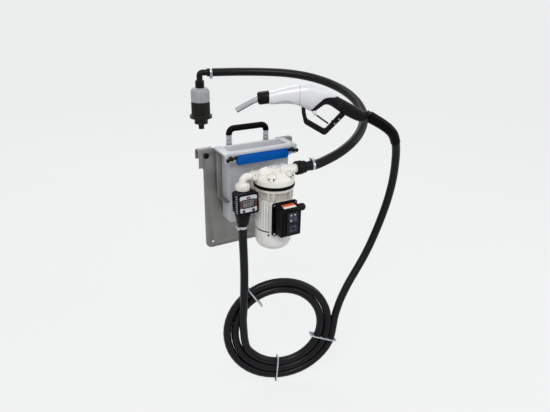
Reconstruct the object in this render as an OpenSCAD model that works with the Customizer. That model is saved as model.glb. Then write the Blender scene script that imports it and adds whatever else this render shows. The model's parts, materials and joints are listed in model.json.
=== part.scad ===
// Rail-hung transfer pump kit for a tank: a bent-steel bracket with a bin and a carry handle,
// a membrane pump with a finned motor, a flow meter, a suction hose with its tank adaptor,
// and a delivery hose with a tied coil and a trigger nozzle.
// Millimetres, +Z up, +Y towards the tank, origin on the axis of the rail that it hangs from.

/* [Tank rail and bracket] */
// Diameter of the tank's top rail
rail_d = 28; // [22:1:40]
// Play between the rail and a hook, on the radius
rail_play = 0.5; // [0.2:0.1:1.5]
// Thickness of a hook
hook_t = 2.5; // [2:0.5:5]
// Width of each hook along the rail
hook_w = 54; // [30:1:70]
// How far each hook reaches past the edge of the back plate
hook_out = 15; // [8:1:25]
// Thickness of the bracket's sheet steel
sheet_t = 3; // [2:0.5:5]
// Width of the back plate
plate_w = 346; // [320:1:420]
// Height of the back plate below the rail's axis
plate_drop = 370; // [300:1:450]
// Height of the back plate above the rail's axis
plate_rise = 18; // [12:1:30]
// Radius of the back plate's lower corners
plate_r = 25; // [8:1:40]
// Diameter of the strap holes in the lower corners
strap_hole_d = 8; // [5:0.5:12]
// Diameter of the head of a hook plug
plug_d = 20; // [14:1:26]
// Diameter of the hole that a hook plug fills
plug_hole_d = 14; // [8:1:18]

/* [Bin] */
// Width of the bin
bin_w = 232; // [180:1:260]
// Depth of the bin, front to back
bin_deep = 64; // [50:1:90]
// Height of the bin
bin_h = 262; // [180:1:300]
// Thickness of the bin's sheet
bin_t = 2; // [1:0.25:3]
// Distance from the bracket's back plate to the bin
bin_stand = 23; // [15:1:40]
// Width of the rim at each side of the bin
rim_side = 24; // [15:1:30]
// Width of the rim in front of the bin
rim_front = 18; // [12:1:30]
// Height of the lip under the front of the rim
lip_h = 32; // [20:1:45]
// Width of the name plate
label_w = 205; // [120:1:210]
// Height of the name plate
label_h = 36; // [20:1:50]
// Thickness of the name plate
label_t = 3; // [1:0.5:5]
// Distance from the bin's middle to each wing knob
knob_reach = 120; // [118:1:124]
// Length over the wings of a knob
knob_l = 42; // [30:1:50]
// Diameter of a knob's stud
stud_d = 6; // [4:1:8]

/* [Handle] */
// Distance between the two legs of the handle
handle_w = 147; // [100:1:200]
// Diameter of the rubber grip
grip_d = 22; // [16:1:26]
// Height of the grip's axis above the rail's axis
handle_rise = 80; // [70:1:110]
// Bend radius of the grip at its axis
grip_bend = 20; // [14:1:30]

/* [Pump] */
// Distance from the bracket's middle to the pump's axis
pump_x = 20; // [0:1:40]
// Diameter of the pump head and its membrane
head_d = 140; // [110:1:160]
// Height of the pump head's dome
head_h = 38; // [34:1:50]
// Thickness of the membrane
membrane_t = 8; // [4:0.5:9]
// Height of the lower body
lower_h = 46; // [44:1:60]
// Outer diameter of a port neck
port_d = 34; // [28:1:38]
// Bore of the ports
port_bore = 20; // [14:1:24]
// Diameter of a valve cover
cover_d = 32; // [24:1:34]
// Outer diameter of the motor over its fins
motor_d = 130; // [120:1:140]
// Height of the motor's finned housing
motor_h = 113; // [100:1:150]
// Number of fins around the motor
fins = 36; // [24:4:36]
// Width of a fin
fin_w = 7.4; // [4:0.2:8]
// Height of the fan cover under the motor
fan_cover_h = 78; // [60:1:100]
// Diameter of the motor shaft
shaft_d = 16; // [12:1:20]
// Outer diameter of a shaft bearing
bearing_d = 32; // [28:1:40]
// Running clearance on the radius
run = 0.06; // [0.03:0.01:0.1]

/* [Junction box] */
// Width of the junction box
box_w = 96; // [80:1:100]
// Height of the junction box
box_h = 120; // [100:1:124]
// Depth of the junction box's cover
box_deep = 46; // [40:1:70]
// Wall of the junction box
box_t = 2.5; // [1.5:0.5:4]

/* [Meter and delivery line] */
// Width of the meter
meter_w = 82; // [74:1:90]
// Height of the meter
meter_h = 73; // [66:1:80]
// Depth of the meter
meter_deep = 46; // [40:1:56]
// Lean of the meter's face, in degrees
meter_lean = 4; // [0:1:6]
// Outer diameter of the delivery hose
delivery_d = 30; // [24:1:34]
// Outer diameter of the suction hose
suction_d = 35; // [28:1:38]
// Bore of both hoses
hose_bore = 19; // [16:0.5:20]

/* [Tank fitting] */
// Diameter of the tank adaptor's barrel
adaptor_d = 80; // [70:1:90]
// Outer diameter of the adaptor's tank thread
bung_d = 59.6; // [40:0.2:64]
// Outer diameter of the stub that carries the dip tube
stub_d = 25; // [20:1:30]

/* [Nozzle] */
// Outer diameter of the spout
spout_d = 19; // [15:1:25]
// Width of the nozzle's body
nozzle_w = 50; // [40:1:60]
// Diameter of the swivel's journal
swivel_d = 24; // [20:1:28]

/* [Hidden] */
$fn = 64;
loose = 0.3;    // clearance between pieces that only lie beside each other
eps = 0.01;

steel = [0.42, 0.42, 0.41];
bright = [0.66, 0.67, 0.70];
cream = [0.93, 0.93, 0.90];
black = [0.06, 0.06, 0.07];

// Places that follow from the sizes above.
hook_ri = rail_d / 2 + rail_play;
plate_back = -(hook_ri + hook_t);
plate_front = plate_back - sheet_t;
plug_x = plate_w / 2 - 12;
plug_z = -8;
strap_x = plate_w / 2 - 28;
strap_z = -plate_drop + 23;
bin_x = 4;
bin_top = 24;
bin_back = plate_front - bin_stand;
bin_front = bin_back - bin_deep;
rim_back = plate_front - 10;
lip_y = bin_front - rim_front;
lip_t = bin_t;
knob_z = 8;
side_x = bin_w / 2 + 20;
shelf_z = -157;
leg_x = handle_w / 2;
leg_bottom = handle_rise - grip_bend - 2;
leg_y = plate_front - sheet_t / 2;
foot_t = 8;
pump_y = bin_front - foot_t - head_d / 2;
head_bottom = -76;
head_top = head_bottom + head_h;
port_z = -42;
lower_top = head_bottom - membrane_t;
lower_bottom = lower_top - lower_h;
motor_bottom = lower_bottom - motor_h;
cover_bottom = motor_bottom - fan_cover_h;
bolt_r = head_d / 2 - 7.5;
chamber_r = bolt_r - 7;
tower_r = 6;
cover_angles = [-128, -52, 52, 128];
cover_tilt = 40;
cover_r = head_d / 2 - 14;
cover_z = head_bottom + 32;
shaft_r = shaft_d / 2;
bearing_h = 11;
rotor_r = 30;
stator_r = 48;
screw_angles = [-134, -44, 46, 136];
pad_y = pump_y - motor_d / 2 - 1;
box_x = pump_x + 3;
box_z = lower_bottom + 4 - box_h / 2;
gland_z = box_z + 40;
gland_y = 24;
base_t = 4;
flange_t = 3;
cover_back = pad_y - base_t - flange_t;
cover_front = cover_back - box_deep;
body_w = box_w - 20;
body_x = box_x - 2;
slope = 9;
switch_x = box_x + 3;
switch_z = box_z + 20;
reset_z = box_z - 19;
frame_t = 3;
rocker_w = 30;
rocker_h = 16;
rocker_turn = 9;
outlet_x = -101;
union_l = 26;
union_half = 13;
union_x = pump_x - 60;
inlet_x = pump_x + 85;
nut_top = -62;
nut_bottom = -85;
meter_top = nut_bottom - 2;
meter_z = meter_top - meter_h / 2;
meter_bottom = meter_top - meter_h;
face_y = pump_y - meter_deep + 2;
button_dx = 18;
button_dz = -24;
tail_top = meter_bottom - 2;
tail_bottom = tail_top - 52;
tank_x = 22;
tank_y = 480;
adaptor_top = 65;
adaptor_bottom = -6;
tank_nut_top = 125;
shank_r = stub_d / 2 + 1;
elbow_z = 188;
elbow_turn = -15;
elbow_reach = 38;
clamp_w = 9;

// Nozzle frame: local X runs from the spout to the hose, local Y is the lever's pin.
nozzle_at = [330, -278, 141];
nozzle_turn = -30;
swivel_drop = 28;
swivel_way = [cos(swivel_drop) * cos(nozzle_turn), cos(swivel_drop) * sin(nozzle_turn), -sin(swivel_drop)];
pivot = [-182, 4];
lever_l = 58;
lever_w = 14;
lever_slope = 34;
guard_t = 14;
latch_at = [-118, -30];
latch_l = 16;
collar_at = [-376, 52];
collar_l = 40;
spout_l = 84;
ferrule_l = 14;
spout_drop = 30;
// Shell and grip sections along the nozzle: [x, z, half height, half width]
shell_run = [[-334, 54, 23, 22], [-300, 62, 25, 24], [-250, 67, 33, 25], [-200, 60, 44, 25],
    [-160, 70, 28, 24], [-130, 66, 20, 21]];
guard = [[-230, 38], [-217, -28], [-150, -68], [-139, -66], [-70, 10], [-84, 22],
    [-96, 10], [-143, -46], [-149, -48], [-206, -15], [-214, 38]];
grip_run = [[-150, 62, 19, 19], [-110, 42, 24, 20], [-60, 20, 24, 20], [-26, 5, 21, 20]];

// Hose routes: hand-placed points along each centreline.
suction_run = [[185, 0, 0], [210, 0, 4], [240, -1, 13], [280, -2, 27], [324, 3, 45],
    [365, 14, 64], [405, 34, 85], [441, 64, 108], [470, 105, 130], [490, 158, 151], [500, 218, 170],
    [501, 278, 185], [492, 334, 197], [472, 386, 208], [440, 436, 218], [400, 480, 225],
    [355, 520, 229], [307, 556, 230], [256, 587, 230], [204, 611, 230], [152, 630, 230],
    [105, 643, 230]];
drop_run = [[0, 0, -240], [0, 0, -270], [1, -2, -320], [2, -4, -380], [2, -5, -440],
    [1, -4, -500], [0, -3, -550], [-1, -1, -590], [0, 3, -630], [2, 8, -665], [5, 15, -700]];
rise_run = [[249, -280, -690], [252, -280, -660], [260, -279, -630], [274, -276, -595],
    [295, -272, -558], [322, -268, -518], [354, -265, -475], [386, -263, -428],
    [414, -262, -376], [438, -262, -320], [458, -263, -262], [472, -266, -205],
    [480, -270, -148], [481, -275, -95], [476, -281, -45], [466, -289, 0], [450, -298, 38],
    [430, -305, 68], [406, -307, 91], [380, -302, 110]];
coil_at = [43, -213, -680];
coil_turn = -18;
coil_lean = 4;
coil_r0 = 146;
coil_pitch = delivery_d + 0.4;
coil_turns = 2.5;
coil_in = coil_r0 - delivery_d / 2 - 1;
coil_out = coil_r0 + coil_turns * coil_pitch + delivery_d / 2 + 1;
coil_thick = delivery_d + 1;
tie_angles = [124, 266, 340];

function unit(v) = v / norm(v);
// Points of a route, smoothed by a Catmull-Rom curve with n steps between each pair.
function curve(p, n) = [for (i = [0 : len(p) - 2], k = [0 : n - 1])
    let (t = k / n, a = p[max(i - 1, 0)], b = p[i], c = p[i + 1], d = p[min(i + 2, len(p) - 1)])
    0.5 * (2 * b + (c - a) * t + (2 * a - 5 * b + 4 * c - d) * t * t
        + (3 * b - a - 3 * c + d) * t * t * t), p[len(p) - 1]];
function heading(p, i) = unit(p[min(i + 1, len(p) - 1)] - p[max(i - 1, 0)]);
function side_of(h) = unit(cross(h, abs(h[2]) > 0.9 ? [1, 0, 0] : [0, 0, 1]));
// Carries the side vector from ring to ring, so that a tube doesn't twist.
function carry(p, i) = i == 0 ? side_of(heading(p, 0))
    : let (h = heading(p, i), s = carry(p, i - 1)) unit(s - (s * h) * h);

// A solid tube of n sides that follows the points p, with a radius for each end.
module sweep(p, r0, r1, n) {
    last = len(p) - 1;
    points = [for (i = [0 : last])
        let (h = heading(p, i), s = carry(p, i), u = cross(h, s), r = r0 + (r1 - r0) * i / last)
        for (k = [0 : n - 1]) p[i] + r * (cos(360 * k / n) * s + sin(360 * k / n) * u)];
    sides = [for (i = [0 : last - 1], k = [0 : n - 1])
        [i * n + k, (i + 1) * n + k, (i + 1) * n + (k + 1) % n, i * n + (k + 1) % n]];
    polyhedron(points, concat(sides, [[for (k = [0 : n - 1]) k],
        [for (k = [n - 1 : -1 : 0]) last * n + k]]), convexity = 8);
}

module both_sides() { children(); mirror([1, 0, 0]) children(); }
// Draws an outline in X and Z at depth y and raises it towards the front.
module upright(y, t) { translate([0, y, 0]) rotate([90, 0, 0]) linear_extrude(t) children(); }
module along_x(x, l, r, r2 = undef) {
    translate([x, 0, 0]) rotate([0, 90, 0]) cylinder(h = l, r1 = r, r2 = is_undef(r2) ? r : r2);
}
module along_y(y, l, r) { translate([0, y, 0]) rotate([-90, 0, 0]) cylinder(h = l, r = r); }
module disc(z0, z1, r) { translate([0, 0, z0]) cylinder(h = z1 - z0, r = r); }
module slab(x0, x1, y0, y1, z0, z1) { translate([x0, y0, z0]) cube([x1 - x0, y1 - y0, z1 - z0]); }
module round_rect(w, h, r) {
    square([w - 2 * r, h], center = true);
    square([w, h - 2 * r], center = true);
    for (x = [-1, 1], y = [-1, 1]) translate([x * (w / 2 - r), y * (h / 2 - r)]) circle(r);
}
module at_pump() { translate([pump_x, pump_y, 0]) children(); }
module at_outlet() { translate([outlet_x, pump_y, 0]) children(); }
module at_tank() { translate([tank_x, tank_y, 0]) children(); }
module at_covers() {
    at_pump() for (a = cover_angles)
        rotate([0, 0, a]) translate([cover_r, 0, cover_z]) rotate([0, cover_tilt, 0]) children();
}
module at_bolts() { at_pump() for (a = cover_angles, b = [-8, 8]) rotate([0, 0, a + b])
    translate([bolt_r, 0, 0]) children(); }
module pan_screw(r) { cylinder(h = r * 0.7, r = r); translate([0, 0, -8]) cylinder(h = 8, r = r / 2); }
module at_meter() { translate([outlet_x, pump_y, meter_z]) rotate([-meter_lean, 0, 0])
    translate([0, face_y - pump_y, 0]) children(); }
module at_nozzle() { translate(nozzle_at) rotate([0, 0, nozzle_turn]) children(); }
module at_swivel() { at_nozzle() rotate([0, swivel_drop, 0]) children(); }
module egg(s) { translate([s[0], 0, s[1]]) scale([s[3], s[3], s[2]]) sphere(1, $fn = 28); }
module run_of_eggs(run) { for (i = [0 : len(run) - 2]) hull() { egg(run[i]); egg(run[i + 1]); } }

// ---- bracket ----
module ear() {
    polygon([[plate_w / 2 - 30, plate_rise], [plate_w / 2 + hook_out, plate_rise],
        [plate_w / 2 + hook_out, -40], [plate_w / 2, -56], [plate_w / 2 - 30, -56]]);
}
module back_plate() {
    color(steel) difference() {
        upright(plate_back, sheet_t) {
            translate([0, (plate_rise - plate_drop) / 2]) round_rect(plate_w, plate_rise + plate_drop, plate_r);
            translate([-plate_w / 2, -100]) square([plate_w, 100 + plate_rise]);
            both_sides() ear();
        }
        both_sides() translate([plug_x, 0, plug_z]) along_y(plate_front - 1, sheet_t + 2, plug_hole_d / 2);
        both_sides() translate([strap_x, 0, strap_z]) along_y(plate_front - 1, sheet_t + 2, strap_hole_d / 2);
        both_sides() translate([leg_x, 0, -26]) along_y(plate_front - 1, sheet_t + 2, 3.2);
    }
}
module rail_hooks() {
    color(steel) both_sides() difference() {
        translate([plate_w / 2 + hook_out - hook_w, 0, 0]) union() {
            difference() {
                along_x(0, hook_w, hook_ri + hook_t);
                slab(-1, hook_w + 1, plate_back - 1, -plate_back + 1, plate_back - 1, 0);
            }
            slab(0, hook_w, plate_back, plate_back + hook_t, -52, 0);
            slab(0, hook_w, hook_ri, hook_ri + hook_t, -24, 0);
        }
        along_x(plate_w / 2 + hook_out - hook_w - 1, hook_w + 2, hook_ri);
        translate([plug_x, 0, plug_z]) along_y(plate_back - 1, hook_t + 2, plug_hole_d / 2);
    }
}
module hook_plugs() {
    color(black) both_sides() translate([plug_x, 0, plug_z]) {
        along_y(plate_front - 3, 3, plug_d / 2);
        along_y(plate_front - 1, sheet_t + hook_t + 0.6, plug_hole_d / 2 - 0.1);
    }
}
module side_brackets() {
    color(steel) translate([bin_x, 0, 0]) both_sides() difference() {
        union() {
            slab(side_x - sheet_t, side_x, bin_back, plate_front, shelf_z - sheet_t, plate_rise - 2);
            slab(bin_w / 2 - 20, side_x, bin_back, bin_back + sheet_t, shelf_z - sheet_t, plate_rise - 2);
            slab(bin_w / 2 + loose, side_x, bin_front, plate_front, shelf_z - sheet_t, shelf_z);
        }
        translate([0, bin_back + bin_stand / 2 + 1, 0]) for (z = [-72, -140])
            translate([side_x - sheet_t - 1, 0, z]) along_x(0, sheet_t + 2, 6);
        slab(side_x - sheet_t - 1, side_x + 1, bin_back + bin_stand / 2 - 5,
            bin_back + bin_stand / 2 + 7, -140, -72);
    }
}
module bin() {
    color(bright) difference() {
        translate([bin_x, 0, 0]) union() {
            slab(-bin_w / 2, bin_w / 2, bin_front, bin_back, bin_top - bin_h, bin_top);
            slab(-bin_w / 2 - rim_side, bin_w / 2 + rim_side, lip_y, rim_back, bin_top - bin_t, bin_top);
            slab(-bin_w / 2 - rim_side, bin_w / 2 + rim_side, lip_y, lip_y + lip_t, bin_top - lip_h, bin_top);
            both_sides() slab(bin_w / 2 + rim_side - lip_t, bin_w / 2 + rim_side, lip_y, rim_back,
                bin_top - 8, bin_top);
            difference() {
                slab(-bin_w / 2 - 3, bin_w / 2 + 3, bin_front - 3, bin_back + 3, bin_top, bin_top + 2.5);
                slab(-bin_w / 2, bin_w / 2, bin_front, bin_back, bin_top - 1, bin_top + 4);
            }
            both_sides() translate([knob_reach, 0, knob_z]) along_y(lip_y, 9, stud_d / 2 + 3);
        }
        translate([bin_x, 0, 0]) {
            slab(-bin_w / 2 + bin_t, bin_w / 2 - bin_t, bin_front + bin_t, bin_back - bin_t,
                bin_top - bin_h + bin_t, bin_top + 5);
            both_sides() translate([knob_reach, 0, knob_z]) along_y(lip_y - 1, 14, stud_d / 2 + run);
        }
        foot_bolt_places() along_y(bin_front - 1, bin_t + 2, 4.2);
    }
}
module name_plate() {
    color([0.02, 0.33, 0.64]) upright(lip_y, label_t)
        translate([bin_x + 3, -2]) round_rect(label_w, label_h, 11);
}
module wing_knob(side) {
    color(black) translate([bin_x + side * knob_reach, 0, knob_z]) {
        along_y(lip_y - 7, 7 - loose, 7.5);
        along_y(lip_y - 10, 24, stud_d / 2);
        rotate([0, side * 12, 0]) upright(lip_y - 6, 9) {
            square([knob_l - 14, 8], center = true);
            circle(7);
            for (x = [-1, 1]) translate([x * (knob_l / 2 - 7.5), x * 1.5]) circle(7.5);
        }
    }
}
module knob_left() { wing_knob(-1); }
module knob_right() { wing_knob(1); }
module handle_straps() {
    color(bright) both_sides() difference() {
        slab(leg_x - grip_d / 2, leg_x + grip_d / 2, plate_front - sheet_t, plate_front, -36, leg_bottom);
        for (z = [-26, 42]) translate([leg_x, 0, z]) along_y(plate_front - sheet_t - 1, sheet_t + 2, 3.2);
    }
}
module handle_grip() {
    color(black) translate([0, leg_y, 0]) {
        translate([0, 0, handle_rise]) along_x(grip_bend - leg_x, 2 * (leg_x - grip_bend), grip_d / 2);
        both_sides() translate([leg_x - grip_bend, 0, handle_rise - grip_bend]) rotate([90, 0, 0])
            rotate_extrude(angle = 90) translate([grip_bend, 0]) circle(grip_d / 2);
        both_sides() translate([leg_x, 0, 0]) disc(leg_bottom, handle_rise - grip_bend, grip_d / 2);
    }
}
module foot_bolt_places() {
    translate([pump_x, 0, 0]) for (x = [-38, 38], z = [-96, -128]) translate([x, 0, z]) children();
}
module bracket_bolts() {
    color(bright) {
        both_sides() for (z = [-26, 42]) translate([leg_x, 0, z]) {
            along_y(plate_front - sheet_t - 3, 3, 5);
            along_y(plate_front - sheet_t - 1, sheet_t * 2 + 3, 3);
            along_y(z > 0 ? plate_front : plate_back, 3.5, 5);
        }
        foot_bolt_places() {
            along_y(bin_front - foot_t - 5, 5, 6.5);
            along_y(bin_front - foot_t - 1, foot_t + bin_t + 6, 4);
            along_y(bin_front + bin_t, 6, 6.5);
        }
    }
}

// ---- pump ----
module dome(r, h, bottom) {
    shoulder = r * 0.57;
    rotate_extrude() polygon(concat([[0, bottom], [r, bottom]],
        [for (a = [0 : 15 : 90]) [shoulder + (r - shoulder) * cos(a), bottom + h * (0.4 + 0.6 * sin(a))]],
        [[0, bottom + h]]));
}
module pump_head() {
    color(cream) difference() {
        union() {
            at_pump() {
                dome(head_d / 2, head_h, head_bottom);
                translate([0, 0, port_z]) {
                    along_x(20, inlet_x - pump_x - 20, port_d / 2);
                    along_x(30, 30, 25, port_d / 2);
                    mirror([1, 0, 0]) along_x(20, pump_x - union_x - 20, port_d / 2);
                    mirror([1, 0, 0]) along_x(30, 24, 24, port_d / 2);
                }
            }
            at_covers() disc(-14, -1, cover_d / 2 + 2);
        }
        at_pump() {
            disc(head_bottom - 1, head_bottom + 10, chamber_r);
            dome(chamber_r - 8, head_h - 12, head_bottom + 4);
            translate([0, 0, port_z]) along_x(28, inlet_x, port_bore / 2);
            translate([0, 0, port_z]) mirror([1, 0, 0]) along_x(28, inlet_x, port_bore / 2);
            disc(head_top - 2, 0, 24 + loose / 2);
            slab(-head_d, union_x - pump_x, -union_half - loose, union_half + loose,
                port_z - union_half - loose, 0);
            translate([0, 0, head_bottom - 40]) disc(0, 40 - eps, head_d);
        }
        at_covers() {
            disc(0, 30, cover_d / 2 + loose / 2);
            disc(-16, 1, cover_d / 2 - 6);
            for (x = [-8, 8]) translate([8, x, -10]) cylinder(h = 11, r = 1.6);
        }
        at_bolts() disc(head_bottom - 1, head_bottom + 12, 2.5);
    }
}
module valve_covers() {
    color(cream) at_covers() difference() {
        disc(0, 2.5, cover_d / 2);
        for (x = [-8, 8]) translate([8, x, -1]) cylinder(h = 5, r = 1.6);
    }
}
module valve_discs() { color(black) at_covers() disc(-2.5, 0, cover_d / 2 - 7); }
module top_cap() {
    color(cream) at_pump() difference() {
        union() { disc(head_top - 2, head_top + 12, 24); disc(head_top + 12, head_top + 13, 22); }
        disc(head_top + 10, head_top + 14, 8);
    }
}
module membrane() {
    color(black) difference() {
        at_pump() difference() {
            disc(lower_top, head_bottom, head_d / 2 + 1);
            disc(lower_top - 1, head_bottom + 1, 5.8);
        }
        at_bolts() disc(lower_top - 1, head_bottom + 1, 2.9);
    }
}
module lower_body() {
    color(cream) difference() {
        union() {
            at_pump() {
                disc(lower_top - 12, lower_top, head_d / 2 - 1);
                disc(lower_bottom, lower_top - 6, head_d / 2 - 12);
                slab(-14, 14, 40, head_d / 2 + 1, lower_top - 42, lower_top - 13);
                translate([0, 0, lower_top - 30]) upright(head_d / 2 + foot_t, foot_t) round_rect(96, 54, 6);
            }
            at_bolts() {
                disc(lower_top - 38, lower_top - 6, tower_r);
                disc(lower_top - 41, lower_top - 37, tower_r - 1);
            }
        }
        at_pump() {
            disc(lower_bottom + 14, lower_top + 1, chamber_r - 6);
            disc(lower_bottom - 1, lower_bottom + bearing_h, bearing_d / 2 + run);
            disc(lower_bottom, lower_bottom + 20, bearing_d / 2 - 3);
        }
        at_bolts() { disc(lower_top - 44, lower_top + 1, 2.9); disc(lower_top - 50, lower_top - 38, 4.6); }
        foot_bolt_places() along_y(bin_front - foot_t - 1, foot_t + 2, 4.2);
    }
}
module head_bolts() {
    color(bright) at_bolts() { disc(lower_top - 38, head_bottom + 11, 2.4); disc(lower_top - 42, lower_top - 38, 4.5); }
}
module wobble_plate() {
    color(steel) at_pump() difference() {
        union() {
            disc(head_bottom + loose, head_bottom + 3, 22);
            disc(lower_top - 6, head_bottom + 2, 5.5);
            disc(lower_top - 7, lower_top - loose, 40);
            disc(lower_top - 22, lower_top - 6, 14);
        }
        disc(lower_top - 23, lower_top - 8, shaft_r - 1 + run);
    }
}
module motor_housing() {
    fin_out = motor_d / 2;
    color([0.90, 0.90, 0.89]) at_pump() difference() {
        union() {
            translate([0, 0, motor_bottom + 3]) linear_extrude(motor_h - 8) difference() {
                union() {
                    circle(fin_out - 8);
                    for (a = [0 : 360 / fins : 359]) rotate(a) {
                        translate([0, -fin_w / 2]) square([fin_out - fin_w / 2, fin_w]);
                        translate([fin_out - fin_w / 2, 0]) circle(fin_w / 2, $fn = 24);
                    }
                }
                translate([-box_w / 2, -fin_out - 5]) square([box_w, 14]);
            }
            disc(motor_bottom, motor_bottom + 4, fin_out - 2);
            disc(lower_bottom - 6, lower_bottom, fin_out - 4);
            slab(-box_w / 2 + 1, box_w / 2 - 1, pad_y - pump_y, -stator_r - 2, motor_bottom + 4, lower_bottom - 3);
        }
        disc(motor_bottom + 12, lower_bottom + 1, stator_r + loose / 2);
        disc(motor_bottom - 1, motor_bottom + bearing_h, bearing_d / 2 + run);
        disc(motor_bottom, motor_bottom + 13, bearing_d / 2 - 3);
        translate([box_x - pump_x, 0, box_z]) rotate([90, 0, 0]) cylinder(h = motor_d, r = 9);
    }
}
module stator() {
    color([0.55, 0.32, 0.16]) at_pump() difference() {
        disc(motor_bottom + 12, lower_bottom - 20, stator_r);
        disc(motor_bottom + 11, lower_bottom - 19, rotor_r + 0.5);
    }
}
module motor_shaft() {
    color(bright) at_pump() {
        disc(lower_top - 23, lower_top - 9, shaft_r - 1);
        disc(motor_bottom - 20, lower_top - 22 - loose, shaft_r);
        disc(motor_bottom + 18, lower_bottom - 24, rotor_r);
        difference() {
            disc(lower_top - 32, lower_top - 24, 36);
            slab(-40, 40, 8, 40, lower_top - 33, lower_top - 23);
        }
    }
}
module bearings() {
    color(bright) at_pump() for (z = [lower_bottom, motor_bottom]) difference() {
        disc(z, z + bearing_h, bearing_d / 2);
        disc(z - 1, z + bearing_h + 1, shaft_r + run);
        for (s = [z - 1, z + bearing_h - 1]) difference() {
            disc(s, s + 2, bearing_d / 2 - 2.5);
            disc(s - 1, s + 3, shaft_r + 2.5);
        }
    }
}
module fan() {
    color(black) at_pump() {
        difference() {
            union() {
                disc(motor_bottom - 19, motor_bottom - 6, 14);
                for (a = [0 : 45 : 315]) rotate(a) slab(12, 50, -1.2, 1.2, motor_bottom - 19, motor_bottom - 7);
            }
            disc(motor_bottom - 25, motor_bottom, shaft_r + run);
        }
    }
}
module cup(r, z0, z1, bend) {
    rotate_extrude() polygon(concat([[0, z1], [r, z1]],
        [for (a = [0 : 10 : 90]) [r - bend + bend * cos(a), z0 + bend - bend * sin(a)]], [[0, z0]]));
}
module fan_cover() {
    color([0.90, 0.90, 0.89]) at_pump() difference() {
        union() {
            cup(motor_d / 2, cover_bottom, motor_bottom - 2, 36);
            disc(motor_bottom - 3, motor_bottom, motor_d / 2 - 3);
        }
        cup(motor_d / 2 - 5, cover_bottom + 3, motor_bottom + 1, 34);
        for (a = [0 : 60 : 359]) rotate(a) translate([16, 0, cover_bottom - 1]) cylinder(h = 6, r = 4);
        for (a = screw_angles) rotate(a) translate([0, 0, motor_bottom - 10]) along_x(20, 60, 1.9);
    }
}
module casing_screws() {
    color(steel) {
        at_covers() for (x = [-8, 8]) translate([8, x, 2.5]) { disc(0, 2, 3); disc(-8, 1, 1.5); }
        at_pump() for (a = screw_angles) rotate(a) translate([0, 0, motor_bottom - 10]) {
            along_x(motor_d / 2, 2.5, 3.6);
            along_x(motor_d / 2 - 9, 10, 1.8);
        }
        box_screw_places() { along_y(cover_back - 2, 2, 3.4); along_y(cover_back - 1, flange_t + base_t, 1.6); }
    }
}

// ---- junction box ----
module box_screw_places() {
    for (x = [-1, 1], z = [-1, 1])
        translate([box_x + x * (box_w / 2 - 7), 0, box_z + z * (box_h / 2 - 7)]) children();
}
module box_base() {
    color(black) difference() {
        translate([box_x, 0, box_z]) upright(pad_y, base_t) round_rect(box_w, box_h, 8);
        translate([box_x, 0, box_z]) along_y(pad_y - base_t - 1, base_t + 2, 12);
        box_screw_places() along_y(pad_y - base_t - 1, base_t + 2, 1.7);
    }
}
module wedge_body(grow) {
    y0 = cover_back + 1;
    y1 = cover_front + grow;
    z0 = box_z - box_h / 2 + 10 + grow;
    z1 = box_z + box_h / 2 - 3 - grow;
    translate([body_x - body_w / 2 + grow, 0, 0]) rotate([90, 0, 90]) linear_extrude(body_w - 2 * grow)
        polygon([[y0, z0], [y1 + 4, z0], [y1, z0 + 4], [y1, z1 - slope - 3], [y1 + 3, z1 - slope], [y0, z1]]);
}
module box_cover() {
    color(black) difference() {
        union() {
            translate([box_x, 0, box_z]) upright(pad_y - base_t, flange_t) round_rect(box_w, box_h, 8);
            difference() {
                wedge_body(0);
                slab(box_x - box_w, box_x + box_w, pad_y - base_t - flange_t, pad_y, box_z - box_h, box_z + box_h);
            }
        }
        box_screw_places() along_y(cover_front - 10, box_deep + 10, 5.5);
        difference() {
            wedge_body(box_t);
            box_screw_places() along_y(cover_front, box_deep, 5.5 + box_t);
            slab(box_x - box_w, box_x + box_w, pad_y - base_t, pad_y + 20, box_z - box_h, box_z + box_h);
        }
        translate([body_x, 0, box_z]) slab(-body_w / 2 + box_t, body_w / 2 - box_t,
            pad_y - base_t - flange_t - 1, pad_y, -box_h / 2 + 13, box_h / 2 - 6);
        box_screw_places() along_y(cover_back - 1, flange_t + 2, 1.7);
        slab(switch_x - rocker_w / 2 - 4, switch_x + rocker_w / 2 + 4, cover_front - 1, cover_front + box_t + 1,
            switch_z - rocker_h - 5, switch_z + rocker_h + 5);
        translate([switch_x, 0, reset_z]) along_y(cover_front - 1, box_t + 2, 8.5);
        translate([0, cover_front + gland_y, gland_z]) along_x(box_x, box_w, 7.5);
    }
}
module switch_frame() {
    color([0.12, 0.12, 0.14]) difference() {
        union() {
            translate([switch_x, 0, (switch_z + reset_z) / 2 + 1]) upright(cover_front, frame_t)
                round_rect(rocker_w + 14, switch_z - reset_z + rocker_h + 24, 4);
            slab(switch_x - rocker_w / 2 - 3.5, switch_x + rocker_w / 2 + 3.5, cover_front - frame_t,
                cover_front + 9, switch_z - rocker_h - 4.5, switch_z + rocker_h + 4.5);
            translate([switch_x, 0, reset_z]) along_y(cover_front - frame_t, frame_t + 10, 8);
        }
        slab(switch_x - rocker_w / 2 - 0.5, switch_x + rocker_w / 2 + 0.5, cover_front - frame_t - 1,
            cover_front + 10, switch_z - rocker_h - 2.5, switch_z + rocker_h + 2.5);
        translate([0, cover_front + 3, switch_z]) along_x(switch_x - rocker_w, 2 * rocker_w, 2 + run);
        translate([switch_x, 0, reset_z]) along_y(cover_front - frame_t - 1, 20, 6 + run);
    }
}
module power_switch() {
    color([0.30, 0.33, 0.40]) translate([switch_x, cover_front + 3, switch_z]) {
        rotate([-rocker_turn, 0, 0]) translate([-rocker_w / 2, 0, 0]) rotate([90, 0, 90])
            linear_extrude(rocker_w) polygon([[1, rocker_h - 1], [-9, rocker_h], [-6.5, 0], [-9, -rocker_h],
                [1, 1 - rocker_h], [4, 0]]);
        along_x(-rocker_w / 2 - 3, rocker_w + 6, 2);
    }
}
module reset_button() {
    color([0.34, 0.38, 0.48]) translate([switch_x, 0, reset_z]) along_y(cover_front - frame_t - 4, 14, 6);
}
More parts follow.
